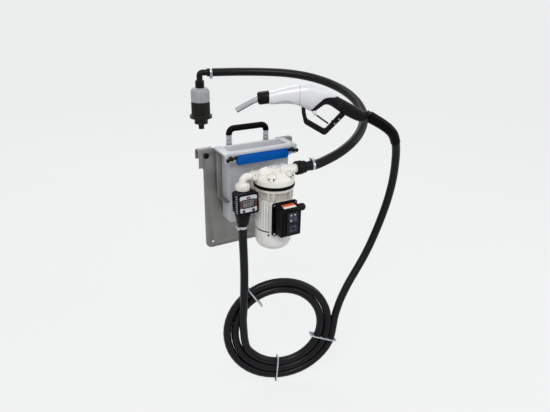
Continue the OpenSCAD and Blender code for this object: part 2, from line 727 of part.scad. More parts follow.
module cable_gland() {
    color(black) translate([0, cover_front + gland_y, gland_z]) difference() {
        union() {
            along_x(body_x + body_w / 2, 8, 13.5);
            along_x(body_x + body_w / 2 + 8, 16, 12.5);
            along_x(body_x + body_w / 2 + 24, 4, 12.5, 9);
            along_x(body_x + body_w / 2 - 8, 9, 7.4);
        }
        along_x(body_x, box_w, 5);
    }
}

// ---- delivery line ----
module outlet_union() {
    color(cream) translate([0, pump_y, port_z]) difference() {
        union() {
            slab(union_x - union_l, union_x, -union_half, union_half, -union_half, union_half);
            along_x(union_x - union_l - 3, 3, 15);
        }
        along_x(union_x - union_l - 4, union_l + 5, port_bore / 2);
    }
}
module elbow_path(r, up, down, bend) {
    along_x(bend, up, r);
    translate([bend, 0, -bend]) rotate([90, 0, 0]) rotate([0, 0, 90])
        rotate_extrude(angle = 90) translate([bend, 0]) circle(r);
    disc(-bend - down, -bend, r);
}
module outlet_elbow() {
    reach = union_x - union_l - 3 - outlet_x;
    color(cream) at_outlet() translate([0, 0, port_z]) difference() {
        union() {
            elbow_path(12.8, reach - 16, 8, 16);
            disc(nut_bottom + 6 - port_z, nut_top - port_z + 1, 18);
        }
        elbow_path(9.5, reach, 40, 16);
    }
}
module union_nut() {
    color(cream) at_outlet() difference() {
        union() {
            translate([0, 0, nut_bottom]) cylinder(h = nut_top - nut_bottom - 6, r = 25);
            for (a = [0 : 45 : 315]) rotate(a) slab(20, 26, -5, 5, nut_bottom, nut_top - 6);
            translate([0, 0, nut_top - 6]) cylinder(h = 5, r1 = 25, r2 = 19.5);
        }
        disc(nut_bottom - 1, nut_top, 18.4);
    }
}
module meter_body() {
    w = meter_w / 2;
    h = meter_h / 2;
    back = meter_deep;
    color(black) difference() {
        union() {
            at_meter() {
                translate([0, back, 0]) rotate([90, 0, 0]) linear_extrude(back) round_rect(meter_w - 6, meter_h, 8);
                both_sides() for (z = [-h + 9 : 6.5 : h - 8]) slab(w - 4, w, 6, back - 6, z - 1.6, z + 1.6);
            }
            at_outlet() { disc(meter_bottom - 2, nut_bottom - 0.2, 24); disc(nut_bottom - 1, nut_bottom + 5.8, 18); }
        }
        at_outlet() {
            disc(meter_bottom - 3, nut_top, 9.5);
            disc(meter_z - 9, meter_z + 9, 15);
        }
        at_meter() {
            translate([0, 1.6, 0]) rotate([90, 0, 0]) linear_extrude(3) round_rect(meter_w - 15, meter_h - 12, 6);
            for (x = [-1, 1]) translate([x * button_dx, 0, button_dz]) along_y(-1, 10, 3.4 + run);
        }
    }
    color(black) at_outlet() for (z = [meter_z - 8.8, meter_z + 6.8]) difference() {
        slab(-14.9, 14.9, -2.5, 2.5, z, z + 2);
        disc(z - 1, z + 3, 1.5 + run);
    }
}
module meter_face() {
    color([0.74, 0.75, 0.77]) at_meter() difference() {
        translate([0, 1.6, 0]) rotate([90, 0, 0]) linear_extrude(2.2) round_rect(meter_w - 16, meter_h - 13, 5.6);
        slab(-21, 21, -2, 0.6, -12, 14);
        for (x = [-1, 1]) translate([x * button_dx, 0, button_dz]) along_y(-2, 5, 3.4 + run);
    }
}
module meter_button(side) {
    color([0.35, 0.05, 0.06]) at_meter() translate([side * button_dx, 0, button_dz]) along_y(-2.2, 8.4, 3.4);
}
module button_left() { meter_button(-1); }
module button_right() { meter_button(1); }
module meter_turbine() {
    color([0.85, 0.85, 0.86]) at_outlet() translate([0, 0, meter_z]) {
        disc(-6, 6, 4);
        disc(-8.6, 8.6, 1.5);
        for (a = [0 : 60 : 300]) rotate(a) slab(3, 13.5, -0.8, 0.8, -5, 5);
    }
}
module outlet_tail() {
    color(black) at_outlet() difference() {
        union() {
            disc(tail_top - 14, tail_top, 27);
            translate([0, 0, tail_bottom + 2]) cylinder(h = 36, r1 = 20, r2 = 26);
            disc(tail_bottom, tail_bottom + 2, 17);
            disc(tail_bottom - 34, tail_bottom + 1, hose_bore / 2);
        }
        disc(tail_bottom - 35, tail_top + 1, hose_bore / 2 - 2.4);
        for (a = [0 : 30 : 330]) rotate(a) translate([28, 0, tail_top - 13]) cylinder(h = 12, r = 2, $fn = 24);
    }
}
// A worm-drive band round a hose of diameter d, about local Z.
module clamp_band(d) {
    r = d / 2 + loose;
    difference() { disc(0, clamp_w, r + 1); disc(-1, clamp_w + 1, r); }
    slab(-9, 9, -r - 8, -r - 1, -1, clamp_w + 1);
    translate([0, -r - 4.5, clamp_w / 2]) along_x(-15, 28, 3.6);
}
module hose_clamps() {
    color([0.72, 0.73, 0.75]) {
        at_outlet() translate([0, 0, tail_bottom - 14]) rotate([0, 0, -90]) clamp_band(delivery_d);
        translate([inlet_x + 64, pump_y, port_z]) rotate([0, 90, 0]) rotate([0, 0, -90]) clamp_band(suction_d);
        at_tank() rotate([0, 0, elbow_turn]) translate([elbow_reach + 6, 0, elbow_z]) rotate([0, 90, 0])
            rotate([0, 0, 90]) clamp_band(suction_d);
    }
}
module inlet_nut() {
    color(black) translate([0, pump_y, port_z]) difference() {
        union() {
            along_x(inlet_x, 24, 23);
            for (a = [0 : 22.5 : 359]) rotate([a, 0, 0]) slab(inlet_x + 1, inlet_x + 23, -2.6, 2.6, 18, 24.5);
            along_x(inlet_x + 24, 16, 20);
            along_x(inlet_x + 30, 7, 22);
        }
        along_x(inlet_x - 1, 42, port_bore / 2);
    }
}
module inlet_tail() {
    color(black) translate([0, pump_y, port_z]) difference() {
        union() { along_x(inlet_x + 40, 17, 17); along_x(inlet_x + 50, 44, hose_bore / 2); }
        along_x(inlet_x + 39, 60, hose_bore / 2 - 2.4);
    }
}

// ---- tank fitting ----
module tank_elbow() {
    color(black) at_tank() difference() {
        union() {
            translate([0, 0, elbow_z]) rotate([0, 0, elbow_turn]) {
                elbow_path(13, elbow_reach - 14, elbow_z - tank_nut_top - 14 - 8, 14);
                along_x(elbow_reach - 6, 6, 17);
                along_x(elbow_reach - 1, 34, hose_bore / 2);
            }
            translate([0, 0, tank_nut_top]) cylinder(h = 30, r = 21, $fn = 6);
            disc(adaptor_bottom - 50, adaptor_bottom - 26, stub_d / 2);
            disc(adaptor_bottom - 26, tank_nut_top + 1, shank_r);
        }
        translate([0, 0, elbow_z]) rotate([0, 0, elbow_turn]) elbow_path(7, elbow_reach * 2, elbow_z - adaptor_bottom + 51, 14);
    }
}
module tank_nut() {
    color([0.72, 0.74, 0.75]) at_tank() difference() {
        union() {
            disc(adaptor_top, tank_nut_top - 12, adaptor_d / 2 - 1);
            translate([0, 0, tank_nut_top - 12]) cylinder(h = 12, r1 = adaptor_d / 2 - 1, r2 = 27);
            for (a = [0 : 30 : 330]) rotate(a) slab(30, adaptor_d / 2 + 1, -5, 5, adaptor_top + 2, tank_nut_top - 14);
        }
        disc(adaptor_top - 1, tank_nut_top + 1, shank_r + loose);
    }
}
module tank_adaptor() {
    color([0.17, 0.17, 0.15]) at_tank() difference() {
        union() {
            disc(adaptor_bottom + 12, adaptor_top, adaptor_d / 2);
            disc(adaptor_bottom, adaptor_bottom + 12, adaptor_d / 2 + 9);
            disc(adaptor_bottom - 26, adaptor_bottom, bung_d / 2);
        }
        disc(adaptor_bottom - 27, adaptor_top + 1, shank_r + loose);
    }
}

// ---- hoses ----
module suction_hose() {
    tail_x = inlet_x + 57;
    color(black) translate([0, pump_y, port_z])
        sweep(concat([[tail_x, 0, 0]], curve(suction_run, 3),
            [for (d = [elbow_reach + 24, elbow_reach]) [tank_x + d * cos(elbow_turn),
                tank_y - pump_y + d * sin(elbow_turn), elbow_z - port_z]]), suction_d / 2, suction_d / 2, 12);
}
module hose_drop() {
    color(black) at_outlet() sweep(concat([[0, 0, tail_bottom]], curve(drop_run, 3)),
        delivery_d / 2, delivery_d / 2, 12);
}
module at_coil() { translate(coil_at) rotate([0, 0, coil_turn]) rotate([90 - coil_lean, 0, 0]) children(); }
module hose_coil() {
    color(black) at_coil() difference() {
        disc(-coil_thick / 2, coil_thick / 2, coil_out);
        disc(-coil_thick, coil_thick, coil_in);
    }
}
module hose_rise() {
    color(black) sweep(concat(curve(rise_run, 3),
        [nozzle_at + 30 * swivel_way, nozzle_at + 6 * swivel_way]), delivery_d / 2, delivery_d / 2, 12);
}
module hose_sleeve() {
    run_in = curve([for (i = [len(rise_run) - 4 : len(rise_run) - 1]) rise_run[i]], 3);
    color(black) sweep(concat(run_in, [nozzle_at + 30 * swivel_way, nozzle_at + 4 * swivel_way]),
        delivery_d / 2 + 2.5, delivery_d / 2 + 5, 12);
}
module zip_ties() {
    w = coil_out - coil_in + 2 * loose;
    h = coil_thick + 2 * loose;
    color([0.86, 0.87, 0.89]) at_coil() for (a = tie_angles) rotate(a)
        translate([(coil_in + coil_out) / 2, 2.5, 0]) rotate([90, 0, 0]) {
            linear_extrude(5) difference() { square([w + 3, h + 3], center = true); square([w, h], center = true); }
            translate([w / 2 + 1.5, -4, -0.5]) cube([5, 8, 6]);
        }
}

// ---- nozzle ----
module hose_swivel() {
    color(black) at_swivel() { along_x(-16, 19, swivel_d / 2); along_x(2.5, 26, hose_bore / 2); }
}
module nozzle_shell() {
    color(cream) at_nozzle() {
        run_of_eggs(shell_run);
        difference() {
            for (y = [-lever_w / 2 - 3.5, lever_w / 2 + 0.5]) {
                translate([pivot[0], y, pivot[1]]) along_y(0, 3, 7);
                slab(pivot[0] - 7, pivot[0] + 7, y, y + 3, pivot[1], pivot[1] + 36);
            }
            translate([pivot[0], 0, pivot[1]]) along_y(-lever_w, 2 * lever_w, 2.5 + run);
        }
    }
}
module nozzle_collar() {
    color(black) at_nozzle() translate([collar_at[0], 0, collar_at[1]]) rotate([0, -8, 0]) difference() {
        union() { along_x(0, 8, 19, 22); along_x(8, collar_l - 8, 22); }
        along_x(-1, collar_l - 8, spout_d / 2 + 0.5);
        along_x(-1, 14, spout_d / 2 + 7, spout_d / 2 + 0.5);
    }
}
module nozzle_spout() {
    color(bright) at_nozzle() translate([collar_at[0], 0, collar_at[1]]) difference() {
        union() {
            rotate([0, 180 - spout_drop, 0]) along_x(0, spout_l, spout_d / 2);
            rotate([0, 180 - spout_drop, 0]) along_x(0, ferrule_l, spout_d / 2 + 1);
            sphere(spout_d / 2 + 1);
            rotate([0, -8, 0]) along_x(0, collar_l - 10, spout_d / 2);
        }
        rotate([0, 180 - spout_drop, 0]) along_x(4, spout_l, spout_d / 2 - 1);
    }
}
module nozzle_grip() {
    color(black) at_nozzle() difference() {
        union() {
            run_of_eggs(grip_run);
            upright(guard_t / 2, guard_t) polygon(guard);
        }
        rotate([0, swivel_drop, 0]) along_x(-17, 40, swivel_d / 2 + run);
        translate([latch_at[0], 0, latch_at[1]]) along_y(-guard_t, 2 * guard_t, 2 + run);
    }
}
module nozzle_lever() {
    color(black) at_nozzle() translate([pivot[0], 0, pivot[1]]) {
        along_y(-lever_w / 2 - 3.5, lever_w + 7, 2.5);
        along_y(-lever_w / 2, lever_w, 5);
        rotate([0, lever_slope, 0]) slab(2, lever_l, 0.4 - lever_w / 2, lever_w / 2 - 0.4, -2.5, 1.5);
    }
}
module nozzle_latch() {
    color(black) at_nozzle() translate([latch_at[0], 0, latch_at[1]]) {
        along_y(-guard_t / 2 - 2, guard_t + 4, 2);
        rotate([0, -110, 0]) slab(-2, latch_l, -guard_t / 2 - 2, -guard_t / 2 - loose, -2, 2);
    }
}

back_plate();
rail_hooks();
hook_plugs();
side_brackets();
bin();
name_plate();
knob_left();
knob_right();
handle_straps();
handle_grip();
bracket_bolts();
pump_head();
valve_covers();
top_cap();
membrane();
lower_body();
head_bolts();
valve_discs();
wobble_plate();
motor_housing();
stator();
motor_shaft();
bearings();
fan();
fan_cover();
casing_screws();
box_base();
box_cover();
switch_frame();
power_switch();
reset_button();
cable_gland();
outlet_union();
outlet_elbow();
union_nut();
meter_body();
meter_face();
button_left();
button_right();
meter_turbine();
outlet_tail();
inlet_nut();
inlet_tail();
hose_clamps();
tank_elbow();
tank_nut();
tank_adaptor();
suction_hose();
hose_drop();
hose_coil();
hose_rise();
hose_sleeve();
zip_ties();
hose_swivel();
nozzle_shell();
nozzle_collar();
nozzle_spout();
nozzle_grip();
nozzle_lever();
nozzle_latch();
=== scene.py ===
"""Looks of a rail-hung transfer pump kit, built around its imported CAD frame.

The frame holds every size, joint and place. This script dresses it: it makes the camera and the
two hoses first, then goes through the sub-assemblies, refines or remodels their pieces and gives
each one its finish. Lengths are in millimetres until a piece is finished, which turns them into
metres in the frame's own axes.
"""
from __future__ import annotations

import json
import logging
import math
from dataclasses import dataclass
from typing import Callable, Sequence

import bmesh
import bpy
from mathutils import Matrix, Vector

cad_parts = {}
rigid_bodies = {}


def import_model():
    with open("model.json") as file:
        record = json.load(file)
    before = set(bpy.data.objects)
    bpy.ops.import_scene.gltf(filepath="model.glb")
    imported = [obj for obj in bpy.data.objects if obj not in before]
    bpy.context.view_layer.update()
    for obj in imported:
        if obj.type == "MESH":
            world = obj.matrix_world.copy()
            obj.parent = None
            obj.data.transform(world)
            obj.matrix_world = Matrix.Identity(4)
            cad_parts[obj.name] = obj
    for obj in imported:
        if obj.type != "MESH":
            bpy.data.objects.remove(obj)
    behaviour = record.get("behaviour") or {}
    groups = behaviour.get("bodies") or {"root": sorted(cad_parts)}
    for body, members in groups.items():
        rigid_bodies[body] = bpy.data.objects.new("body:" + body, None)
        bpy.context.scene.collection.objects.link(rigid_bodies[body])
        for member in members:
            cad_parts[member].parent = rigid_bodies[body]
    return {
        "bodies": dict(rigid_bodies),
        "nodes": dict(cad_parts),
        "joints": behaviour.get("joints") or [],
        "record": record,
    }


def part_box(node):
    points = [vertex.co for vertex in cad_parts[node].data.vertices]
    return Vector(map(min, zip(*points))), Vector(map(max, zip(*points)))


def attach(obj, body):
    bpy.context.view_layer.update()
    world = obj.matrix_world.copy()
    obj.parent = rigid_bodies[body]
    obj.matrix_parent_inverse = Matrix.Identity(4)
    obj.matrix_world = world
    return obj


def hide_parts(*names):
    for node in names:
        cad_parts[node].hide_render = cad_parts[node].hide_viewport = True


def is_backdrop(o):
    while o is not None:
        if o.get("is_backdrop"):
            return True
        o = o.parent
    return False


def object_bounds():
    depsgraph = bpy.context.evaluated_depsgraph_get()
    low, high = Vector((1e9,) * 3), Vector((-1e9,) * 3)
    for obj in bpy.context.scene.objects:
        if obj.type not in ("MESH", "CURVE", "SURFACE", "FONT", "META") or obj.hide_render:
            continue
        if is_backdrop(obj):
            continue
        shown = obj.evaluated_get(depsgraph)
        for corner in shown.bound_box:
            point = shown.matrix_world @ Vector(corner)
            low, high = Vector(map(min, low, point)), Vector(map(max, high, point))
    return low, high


LOG = logging.getLogger("pump_kit")
MM = 0.001
Point = tuple[float, float, float]
Spot = tuple[float, float]

# Places that several sub-assemblies share, in millimetres.
PUMP_AXIS = (20.0, -185.0)
OUTLET_AXIS = (-101.0, -185.0)
PORT_Z = -42.0
TANK_AXIS = (22.0, 480.0)
NOZZLE_AT = (330.0, -278.0, 141.0)

# Near white of the studio, and the share of it that the floor shows to the eye.
PALE = "#f7f8f8"
GLOW_SHARE = 0.85
# Pale dust on faces that look up, and the roughness of every clear coat.
DUST = "#b9b6ae"
COAT_ROUGHNESS = 0.08


# ---------------------------------------------------------------- finishes

def linear(code: str, alpha: float = 1.0) -> tuple[float, float, float, float]:
    """Turns an sRGB hex colour into the linear values that the shader takes.

    Args:
        code: The colour as "#rrggbb".
        alpha: The fourth value.

    Returns:
        The linear red, green, blue and alpha.
    """
    parts = [int(code[i:i + 2], 16) / 255 for i in (1, 3, 5)]
    red, green, blue = (c / 12.92 if c <= 0.04045 else ((c + 0.055) / 1.055) ** 2.4 for c in parts)
    return red, green, blue, alpha


def add_node(tree: bpy.types.NodeTree, kind: str, inputs: dict | None = None, **settings) -> bpy.types.Node:
    """Adds a shader node with its settings and links.

    Args:
        tree: The node tree it goes in.
        kind: The node's type name without "ShaderNode".
        inputs: A value or an output socket for each input, by name or number.
        **settings: Attributes of the node itself.

    Returns:
        The new node.
    """
    made = tree.nodes.new("ShaderNode" + kind)
    for name, value in settings.items():
        setattr(made, name, value)
    for name, value in (inputs or {}).items():
        if isinstance(value, bpy.types.NodeSocket):
            tree.links.new(value, made.inputs[name])
        else:
            made.inputs[name].default_value = value
    return made


def seen_rays(tree: bpy.types.NodeTree) -> bpy.types.NodeSocket:
    """Returns 1 for rays from the camera, a reflection or glass, and 0 for those that carry light.

    Args:
        tree: The node tree it goes in.
    """
    path = add_node(tree, "LightPath").outputs
    sight = path["Is Camera Ray"]
    for other in ("Is Glossy Ray", "Is Transmission Ray"):
        sight = add_node(tree, "Math", {0: sight, 1: path[other]}, operation="MAXIMUM").outputs[0]
    return sight


@dataclass(frozen=True)
class Finish:
    """A moulded or coated surface: mottled colour, uneven gloss and a fine grain.

    Attributes:
        name: What the surface is made of.
        colour: Its main colour.
        tint: The colour that its patches lean to.
        roughness: Its mean roughness.
        uneven: How far the roughness swings across the patches.
        metallic: 1 on bare metal, otherwise 0.
        ior: Index of refraction, left at 1.5 on metal.
        level: Strength of the clear reflection, 0.5 where nothing dulls it.
        patch_mm: Size of the colour patches.
        grain_mm: Size of the surface grain.
        grain: Strength of the grain's bump.
        coat: Weight of a clear coat or polish.
        dust: How much pale dust lies on faces that look up.
    """

    name: str
    colour: str
    tint: str
    roughness: float
    uneven: float = 0.08
    metallic: float = 0.0
    ior: float = 1.5
    level: float = 0.5
    patch_mm: float = 30.0
    grain_mm: float = 1.2
    grain: float = 0.08
    coat: float = 0.0
    dust: float = 0.0

    def stretch(self) -> Point:
        """Returns how far the pattern is squeezed along X, Y and Z."""
        return 1.0, 1.0, 1.0

    def material(self) -> bpy.types.Material:
        """Builds the material once and returns it on later calls."""
        name = "look_" + self.name
        known = bpy.data.materials.get(name)
        if known:
            return known
        made = bpy.data.materials.new(name)
        made.use_nodes = True
        tree = made.node_tree
        tree.nodes.clear()
        place = add_node(tree, "TexCoord").outputs["Object"]
        stretched = add_node(tree, "Mapping", {"Vector": place, "Scale": self.stretch()}).outputs["Vector"]
        patches = add_node(tree, "TexNoise", {"Vector": stretched, "Scale": 1 / (self.patch_mm * MM),
                                              "Detail": 4.0, "Roughness": 0.6}).outputs["Fac"]
        grains = add_node(tree, "TexNoise", {"Vector": stretched, "Scale": 1 / (self.grain_mm * MM),
                                             "Detail": 2.0, "Roughness": 0.5}).outputs["Fac"]
        spread = add_node(tree, "MapRange", {"Value": patches, "From Min": 0.35, "From Max": 0.7})
        blend = add_node(tree, "Mix", {"Factor": spread.outputs["Result"]}, data_type="RGBA")
        blend.inputs["A"].default_value = linear(self.colour)
        blend.inputs["B"].default_value = linear(self.tint)
        colour = self.dusted(tree, blend.outputs["Result"], patches)
        gloss = add_node(tree, "MapRange", {"Value": patches, "From Min": 0.3, "From Max": 0.7,
                                            "To Min": max(self.roughness - self.uneven, 0.02),
                                            "To Max": min(self.roughness + self.uneven, 1.0)})
        bump = add_node(tree, "Bump", {"Height": grains, "Strength": self.grain,
                                       "Distance": self.grain_mm * MM / 4})
        shader = add_node(tree, "BsdfPrincipled", {
            "Base Color": colour, "Roughness": gloss.outputs["Result"], "Metallic": self.metallic,
            "IOR": self.ior, "Specular IOR Level": self.level, "Coat Weight": self.coat,
            "Coat Roughness": COAT_ROUGHNESS, "Normal": bump.outputs["Normal"]})
        add_node(tree, "OutputMaterial", {"Surface": self.seen(tree, shader.outputs["BSDF"])})
        made.diffuse_color = linear(self.colour)
        return made

    def seen(self, tree: bpy.types.NodeTree, surface: bpy.types.NodeSocket) -> bpy.types.NodeSocket:
        """Returns the shader that the eye meets, which is the plain surface.

        Args:
            tree: The material's node tree.
            surface: The surface's shader.
        """
        return surface

    def dusted(self, tree: bpy.types.NodeTree, colour: bpy.types.NodeSocket,
               patches: bpy.types.NodeSocket) -> bpy.types.NodeSocket:
        """Lays pale dust on the faces that look up.

        Args:
            tree: The material's node tree.
            colour: The clean colour.
            patches: The noise that breaks the dust up.

        Returns:
            The colour with the dust on it, or the clean colour where there is none.
        """
        if not self.dust:
            return colour
        normal = add_node(tree, "NewGeometry").outputs["Normal"]
        upward = add_node(tree, "SeparateXYZ", {"Vector": normal}).outputs["Z"]
        cover = add_node(tree, "MapRange", {"Value": upward, "From Min": 0.3, "From Max": 1.0,
                                            "To Max": self.dust})
        broken = add_node(tree, "Math", {0: cover.outputs["Result"], 1: patches}, operation="MULTIPLY")
        lay = add_node(tree, "Mix", {"Factor": broken.outputs[0], "A": colour}, data_type="RGBA")
        lay.inputs["B"].default_value = linear(DUST)
        return lay.outputs["Result"]


@dataclass(frozen=True)
class Brushed(Finish):
    """Sheet or bar with fine lines from the mill along X."""

    def stretch(self) -> Point:
        """Returns a squeeze that draws the noise out along X."""
        return 0.05, 1.0, 1.0


@dataclass(frozen=True)
class Turned(Finish):
    """Metal with fine rings across Z, from a lathe or a draw die."""

    def stretch(self) -> Point:
        """Returns a squeeze that draws the noise out in X and Y."""
        return 0.1, 0.1, 1.0


@dataclass(frozen=True)
class Backdrop(Finish):
    """A matt ground that the camera and reflections see as nearly white, shadow included."""

    def seen(self, tree: bpy.types.NodeTree, surface: bpy.types.NodeSocket) -> bpy.types.NodeSocket:
        """Returns the surface with a pale glow that only direct sight and reflections meet.

        Args:
            tree: The material's node tree.
            surface: The surface's shader.
        """
        glow = add_node(tree, "Emission", {"Color": linear(PALE), "Strength": 1.0})
        share = add_node(tree, "Math", {0: seen_rays(tree), 1: GLOW_SHARE}, operation="MULTIPLY")
        return add_node(tree, "MixShader", {0: share.outputs[0], 1: surface, 2: glow.outputs[0]}).outputs[0]


# Satin stainless sheet: its own warm grey with long soft streaks, painted darker as painted shade for the
# shade that the plates lie in. It gives the eye the bracket's flat planes.
STAINLESS_SHADED = Brushed("stainless_sheet_painted_shade", "#8b8a88", "#848381", 0.40, 0.04, 0.8, patch_mm=60, grain_mm=0.9,
                    grain=0.06)
# Brighter strap steel of the handle's legs: pale satin with fine lines.
STRAP_STEEL = Brushed("strap_steel", "#c2c3c6", "#b4b5b8", 0.34, 0.05, 0.8, patch_mm=30, grain_mm=0.8,
                      grain=0.06)
# Grey powder coat over sheet steel: pale, with fine orange peel and a satin sheen.
POWDER = Finish("grey_powder_coat", "#c3c6cb", "#bcbfc5", 0.40, 0.05, 0.05, patch_mm=60, grain_mm=1.6,
                grain=0.10)
# Painted highlight: nearly white lines along the bin's edges and on the collar's top, where light catches
# them, that draw the bin's outline.
HEM_HIGHLIGHT = Finish("hem_painted_highlight", "#e6e8eb", "#dcdee2", 0.30, 0.05, 0.1, patch_mm=25, grain_mm=1.2, grain=0.05)
# Zinc plate on pressed bolts and clamps: pale, slightly blue soft mirror, so that each one glints.
ZINC = Finish("zinc_plate", "#c6c9cf", "#a9acb2", 0.26, 0.08, 0.9, patch_mm=5, grain_mm=0.8, grain=0.06)
# Drawn stainless tube: rings across its length and a clear highlight along it.
SPOUT_STEEL = Turned("drawn_tube", "#c2c4c7", "#a9abae", 0.22, 0.05, 1.0, patch_mm=9, grain_mm=0.7,
                     grain=0.05)
# Dark oxide on screws: small dark dots on the cream body.
SCREW_STEEL = Finish("dark_screw", "#4b4b4c", "#39393a", 0.38, 0.06, 1.0, patch_mm=3, grain_mm=0.7,
                     grain=0.05)
# Glossy moulded polymer, warm white: the broad soft highlight of the pump head.
CREAM = Finish("glossy_cream_polymer", "#f0eee8", "#ebe9e1", 0.20, 0.04, ior=1.49, patch_mm=80, grain_mm=4.0,
               grain=0.03, coat=0.35, dust=0.05)
# The same polymer painted warmer and greyer as painted shade, for the shade that the lower body lies in,
# which sets it off from the head.
CREAM_SHADED = Finish("cream_polymer_painted_shade", "#dedbd2", "#d6d3ca", 0.26, 0.05, ior=1.49, patch_mm=60,
                   grain_mm=3.0, grain=0.04, coat=0.2)
# Enamel on die-cast aluminium: cool near-white with a slight skin, on the ribs and the fan cover.
ENAMEL = Finish("pale_enamel", "#e9e9e7", "#e2e2df", 0.30, 0.05, ior=1.5, patch_mm=50, grain_mm=2.4,
                grain=0.06, coat=0.15)
# Glass-filled nylon: deep black with a fine spark texture and a sheen that varies in patches.
BLACK = Finish("black_moulding", "#0a0a0c", "#0e0e10", 0.37, 0.07, ior=1.5, level=0.12, patch_mm=25,
               grain_mm=0.8, grain=0.14, dust=0.02)
# Smoother black housing of the switch box and the meter: darker still, with sharper highlights.
BOX_BLACK = Finish("black_switch_box", "#050507", "#070709", 0.28, 0.06, ior=1.5, level=0.08, patch_mm=30,
                   grain_mm=0.9, grain=0.08, dust=0.01)
# Soft moulded rubber of the carrying grip and the hose sleeve: flat black with hardly any sheen.
RUBBER = Finish("soft_rubber", "#070709", "#0a0a0c", 0.38, 0.06, ior=1.5, level=0.04, patch_mm=12,
                grain_mm=1.0, grain=0.14, dust=0.02)
# Fibre-backed membrane rubber: the flat dark band round the pump's waist, which also covers the shade in the
# gap there.
BAND = Finish("membrane_rubber", "#050506", "#080809", 0.50, 0.06, ior=1.5, level=0.04, patch_mm=12,
              grain_mm=1.0, grain=0.08)
# Smooth extruded hose cover: blue-black, with one long soft highlight.
HOSE = Finish("hose_cover", "#0b0c0f", "#0f1013", 0.33, 0.06, ior=1.5, level=0.16, patch_mm=40, grain_mm=1.5,
              grain=0.07, dust=0.02)
# Blue acrylic plate: one saturated glossy field, left blank.
BLUE = Finish("blue_acrylic", "#0058b0", "#0053a7", 0.26, 0.03, ior=1.49, level=0.10, patch_mm=70,
              grain_mm=4.0, grain=0.02)
# Moulded blue-grey nylon keys of the switch box: dim cool patches on the black cover.
KEY_BLUE = Finish("blue_grey_key", "#3b4354", "#2c3342", 0.30, 0.05, ior=1.5, level=0.25, patch_mm=8,
                  grain_mm=0.7, grain=0.06)
# Moulded frame of the keys: a shade off the black of what it stands on, so that its edge reads.
KEY_FRAME = Finish("switch_surround", "#0e0f12", "#131417", 0.35, 0.05, ior=1.5, level=0.2, patch_mm=8,
                   grain_mm=0.8, grain=0.08)
# Moulded silicone keys of the meter: small dark red dots.
RED_KEY = Finish("dark_red_key", "#6a1519", "#561114", 0.42, 0.05, ior=1.5, patch_mm=4, grain_mm=0.6,
                 grain=0.05)
# Clear red acrylic lens over the display: one bright glossy spot.
RED_LENS = Finish("red_lens", "#d02a2f", "#c02429", 0.16, 0.03, ior=1.5, patch_mm=4, grain_mm=0.8,
                  grain=0.0, coat=0.4)
# Printed film at both sides of the display: brownish red bands.
RED_STRIP = Finish("red_strip", "#4f2a29", "#432322", 0.35, 0.05, ior=1.5, patch_mm=6, grain_mm=0.8,
                   grain=0.03)
# Silver lacquer of the meter's face: bright bands above and below the display.
SILVER = Finish("silver_lacquer", "#c9ccd1", "#bec1c6", 0.28, 0.04, 0.5, patch_mm=15, grain_mm=0.8,
                grain=0.05)
# Liquid crystal display behind glass: flat grey with a sharp reflection.
LCD = Finish("display_glass", "#6b6e6e", "#646767", 0.12, 0.02, ior=1.52, patch_mm=20, grain_mm=3.0,
             grain=0.0, coat=0.5)
# Darker fields of the display, which stand for its digits.
LCD_DARK = Finish("display_field", "#4a4d4e", "#434647", 0.15, 0.02, ior=1.52, patch_mm=9, grain_mm=3.0,
                  grain=0.0)
# Printed vinyl, orange half of the label: a clear accent on the black box.
ORANGE = Finish("orange_label", "#e2541c", "#d94e18", 0.35, 0.04, ior=1.5, patch_mm=20, grain_mm=1.5,
                grain=0.03)
# Printed vinyl, white half of the label: the brightest patch on the box.
WHITE_LABEL = Finish("white_label", "#e9e8e6", "#e0dfdd", 0.38, 0.04, ior=1.5, patch_mm=20, grain_mm=1.5,
                     grain=0.03)
# Natural nylon ties: thin pale rings round the black coil.
TIE = Finish("natural_nylon", "#c9ccd3", "#bfc2ca", 0.28, 0.05, ior=1.53, patch_mm=12, grain_mm=0.9,
             grain=0.05)
# Grey polyethylene of the tank nut: matt, with dust on its shoulder.
NUT_GREY = Finish("grey_polyethylene", "#a9adae", "#a0a4a5", 0.42, 0.05, ior=1.51, patch_mm=35,
                  grain_mm=1.5, grain=0.08, dust=0.10)
# Greenish black polyethylene of the tank adaptor.
ADAPTOR = Finish("dark_polyethylene", "#1c1d18", "#23241f", 0.38, 0.06, ior=1.5, level=0.12, patch_mm=20,
                 grain_mm=1.2, grain=0.12, dust=0.03)
# Cool white polymer of the nozzle's shell: broad smooth highlights.
NOZZLE_WHITE = Finish("nozzle_shell_polymer", "#e3e4e8", "#dcdde2", 0.24, 0.04, ior=1.49, patch_mm=70,
                      grain_mm=3.0, grain=0.03, coat=0.25)
# Parting lines and inlays on the nozzle: a thin grey shadow.
SEAM = Finish("shadow_line", "#6f7178", "#686a70", 0.5, 0.05, patch_mm=10, grain_mm=1.0, grain=0.0)
# Gap between the motor and its fan cover: nearly black.
GAP = Finish("shadow_gap", "#15140f", "#1b1a15", 0.6, 0.05, level=0.2, patch_mm=10, grain_mm=1.0, grain=0.0)
# Painted shade in the grooves between the motor's ribs and in recess rims: a darker grey enamel where less
# light reaches.
GROOVE_SHADE = Finish("groove_painted_shade", "#a9a79e", "#a19f96", 0.5, 0.05, ior=1.5, level=0.3, patch_mm=30,
                grain_mm=2.0, grain=0.06)
# Painted highlight on the ribs of the meter's flanks: grey, for the light that their edges catch.
RIB_HIGHLIGHT = Finish("rib_painted_highlight", "#9b9da1", "#85878b", 0.35, 0.06, ior=1.5, patch_mm=6, grain_mm=0.9, grain=0.08)
# Varnished copper winding inside the motor: warm brown wire, seen only when the housing is off.
COPPER = Turned("copper_winding", "#8f5530", "#7a4526", 0.34, 0.08, 1.0, patch_mm=3, grain_mm=0.9, grain=0.3)
